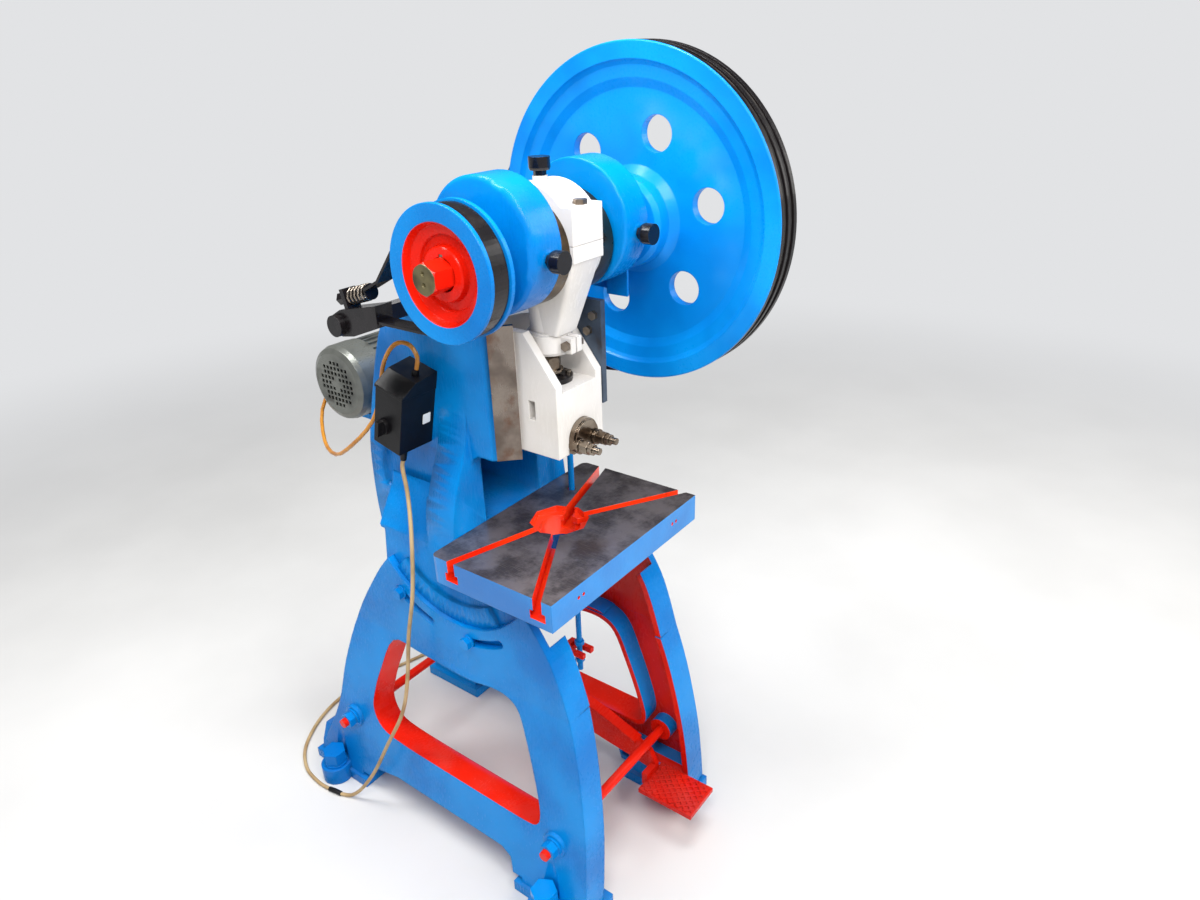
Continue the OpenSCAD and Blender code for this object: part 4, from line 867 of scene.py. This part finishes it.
# %% Trim the motor bracket
BRACKET_END_X = -0.012
bracket = copy_of("motor_bracket")
edit_all(bracket, bpy.ops.mesh.bisect, plane_co=(BRACKET_END_X, 0, 0), plane_no=(1, 0, 0),
         use_fill=True, clear_inner=True)
dress(bracket, "motor_bracket_trimmed", "frame", small_blue, ["motor_bracket"])

# %% [markdown]
# ## Blank tab on the switch box
#
# A small white tab with nothing on it is stuck on the front of the box, near the pillar.
# It is thin, so a block with four rounded corners is all that it needs, and it leans
# with the box.

# %% Blank tab
TAB_LOW, TAB_HIGH = Vector((-0.1265, -0.0338, -0.010)), Vector((-0.1090, -0.0326, 0.010))
TAB_MIDDLE_X = (TAB_LOW.x + TAB_HIGH.x) / 2
tab = block(TAB_LOW, TAB_HIGH)
pick(tab, "EDGE", lambda m: abs(m.x - TAB_MIDDLE_X) > 0.008 and abs(m.z) > 0.009)
bevel(0.0015, 3)
move(tab, (0, 0.229, 0.950), (math.radians(14), 0, 0))
dress(tab, "blank_tab", "frame", blank_white)

# %% [markdown]
# ## Floor and light
#
# The floor is plain and pale. Far away it fades into the background, so that there is no
# horizon: from some distance on, a glow in the background's colour takes over.

# %% Floor
BACKDROP = paint(226, 227, 229)
start_clean()
bpy.ops.mesh.primitive_plane_add(size=60, location=(0, 0, -0.0005))
floor = bpy.context.object
floor.name = "floor"
ground = Finish("pale_floor")
speck = ground.between(ground.noise(2.0, 4.0), 0.3, 0.7)
ground.done(ground.blend(speck, paint(214, 213, 211), paint(220, 219, 217)), 0.8, specular=0.2)
distance = (ground.x * ground.x + ground.y * ground.y) ** 0.5
haze = ground.node("ShaderNodeEmission", {}, {"Color": BACKDROP, "Strength": 1.0})
near = Wire(ground, ground.node_output.inputs["Surface"].links[0].from_socket)
faded = ground.node("ShaderNodeMixShader", {}, {0: ground.between(distance, 1.6, 4.5), 1: near, 2: haze})
ground.tree.links.new(faded.socket, ground.node_output.inputs["Surface"])
floor.data.materials.append(ground.material)
print("floor:", floor.dimensions.x, "m wide")

# %% [markdown]
# The surroundings give a little even light. The camera sees them as pale grey, and shiny
# surfaces see them much dimmer, because a bright room would wash out the enamel.

# %% World
ROOM_LIGHT = (0.95, 0.97, 1.0, 1)
world = bpy.data.worlds.new("studio")
bpy.context.scene.world = world
world.use_nodes = True
sky = world.node_tree
sky.nodes.clear()


def background(colour, strength):
    made = sky.nodes.new("ShaderNodeBackground")
    made.inputs["Color"].default_value, made.inputs["Strength"].default_value = colour, strength
    return made.outputs[0]


def choice(factor, first, second):
    """The first where the factor is 0, and the second where it is 1."""
    made = sky.nodes.new("ShaderNodeMixShader")
    for socket, source in zip(made.inputs, (factor, first, second)):
        sky.links.new(source, socket)
    return made.outputs[0]


rays = sky.nodes.new("ShaderNodeLightPath").outputs
lit = choice(rays["Is Glossy Ray"], background(ROOM_LIGHT, 0.4), background(ROOM_LIGHT, 0.12))
shown = choice(rays["Is Camera Ray"], lit, background(BACKDROP, 1.0))
sky.links.new(shown, sky.nodes.new("ShaderNodeOutputWorld").inputs[0])
print("world nodes:", len(sky.nodes))

# %% [markdown]
# Four soft lamps light the press: the key from the front, a smaller one high on the left
# for the drum and the wheel, a long strip overhead, which gives the enamel its bright
# lines, and a weak one from the right.


# %% Lamps
def lamp(name, place, target, size, power, colour=(1, 1, 1)):
    bpy.ops.object.light_add(type="AREA", location=place)
    made = bpy.context.object
    made.name = name
    made.data.shape, made.data.size, made.data.size_y = "RECTANGLE", size[0], size[1]
    made.data.energy, made.data.color = power, colour
    made.rotation_euler = (Vector(target) - Vector(place)).to_track_quat("-Z", "Y").to_euler()
    print(name, "lamp:", power, "W")


lamp("key", (-0.5, -2.8, 2.9), (0, 0, 0.9), (1.3, 1.1), 62)
lamp("high_left", (-1.3, -0.9, 2.6), (0.25, 0, 1.25), (0.8, 0.9), 34)
lamp("overhead", (-0.2, 0.3, 3.2), (0, 0.1, 1.0), (0.4, 3.2), 92)
lamp("right", (2.6, -1.8, 2.2), (0.1, 0, 0.9), (1.2, 1.8), 26, (1.0, 0.98, 0.95))
bpy.context.scene.view_settings.view_transform = "Standard"

# %% [markdown]
# ## Last step
#
# The dressed press has to stay the size of the solids. The last cell only brings the scene up to date.

# %% Bring the scene up to date
bpy.context.view_layer.update()
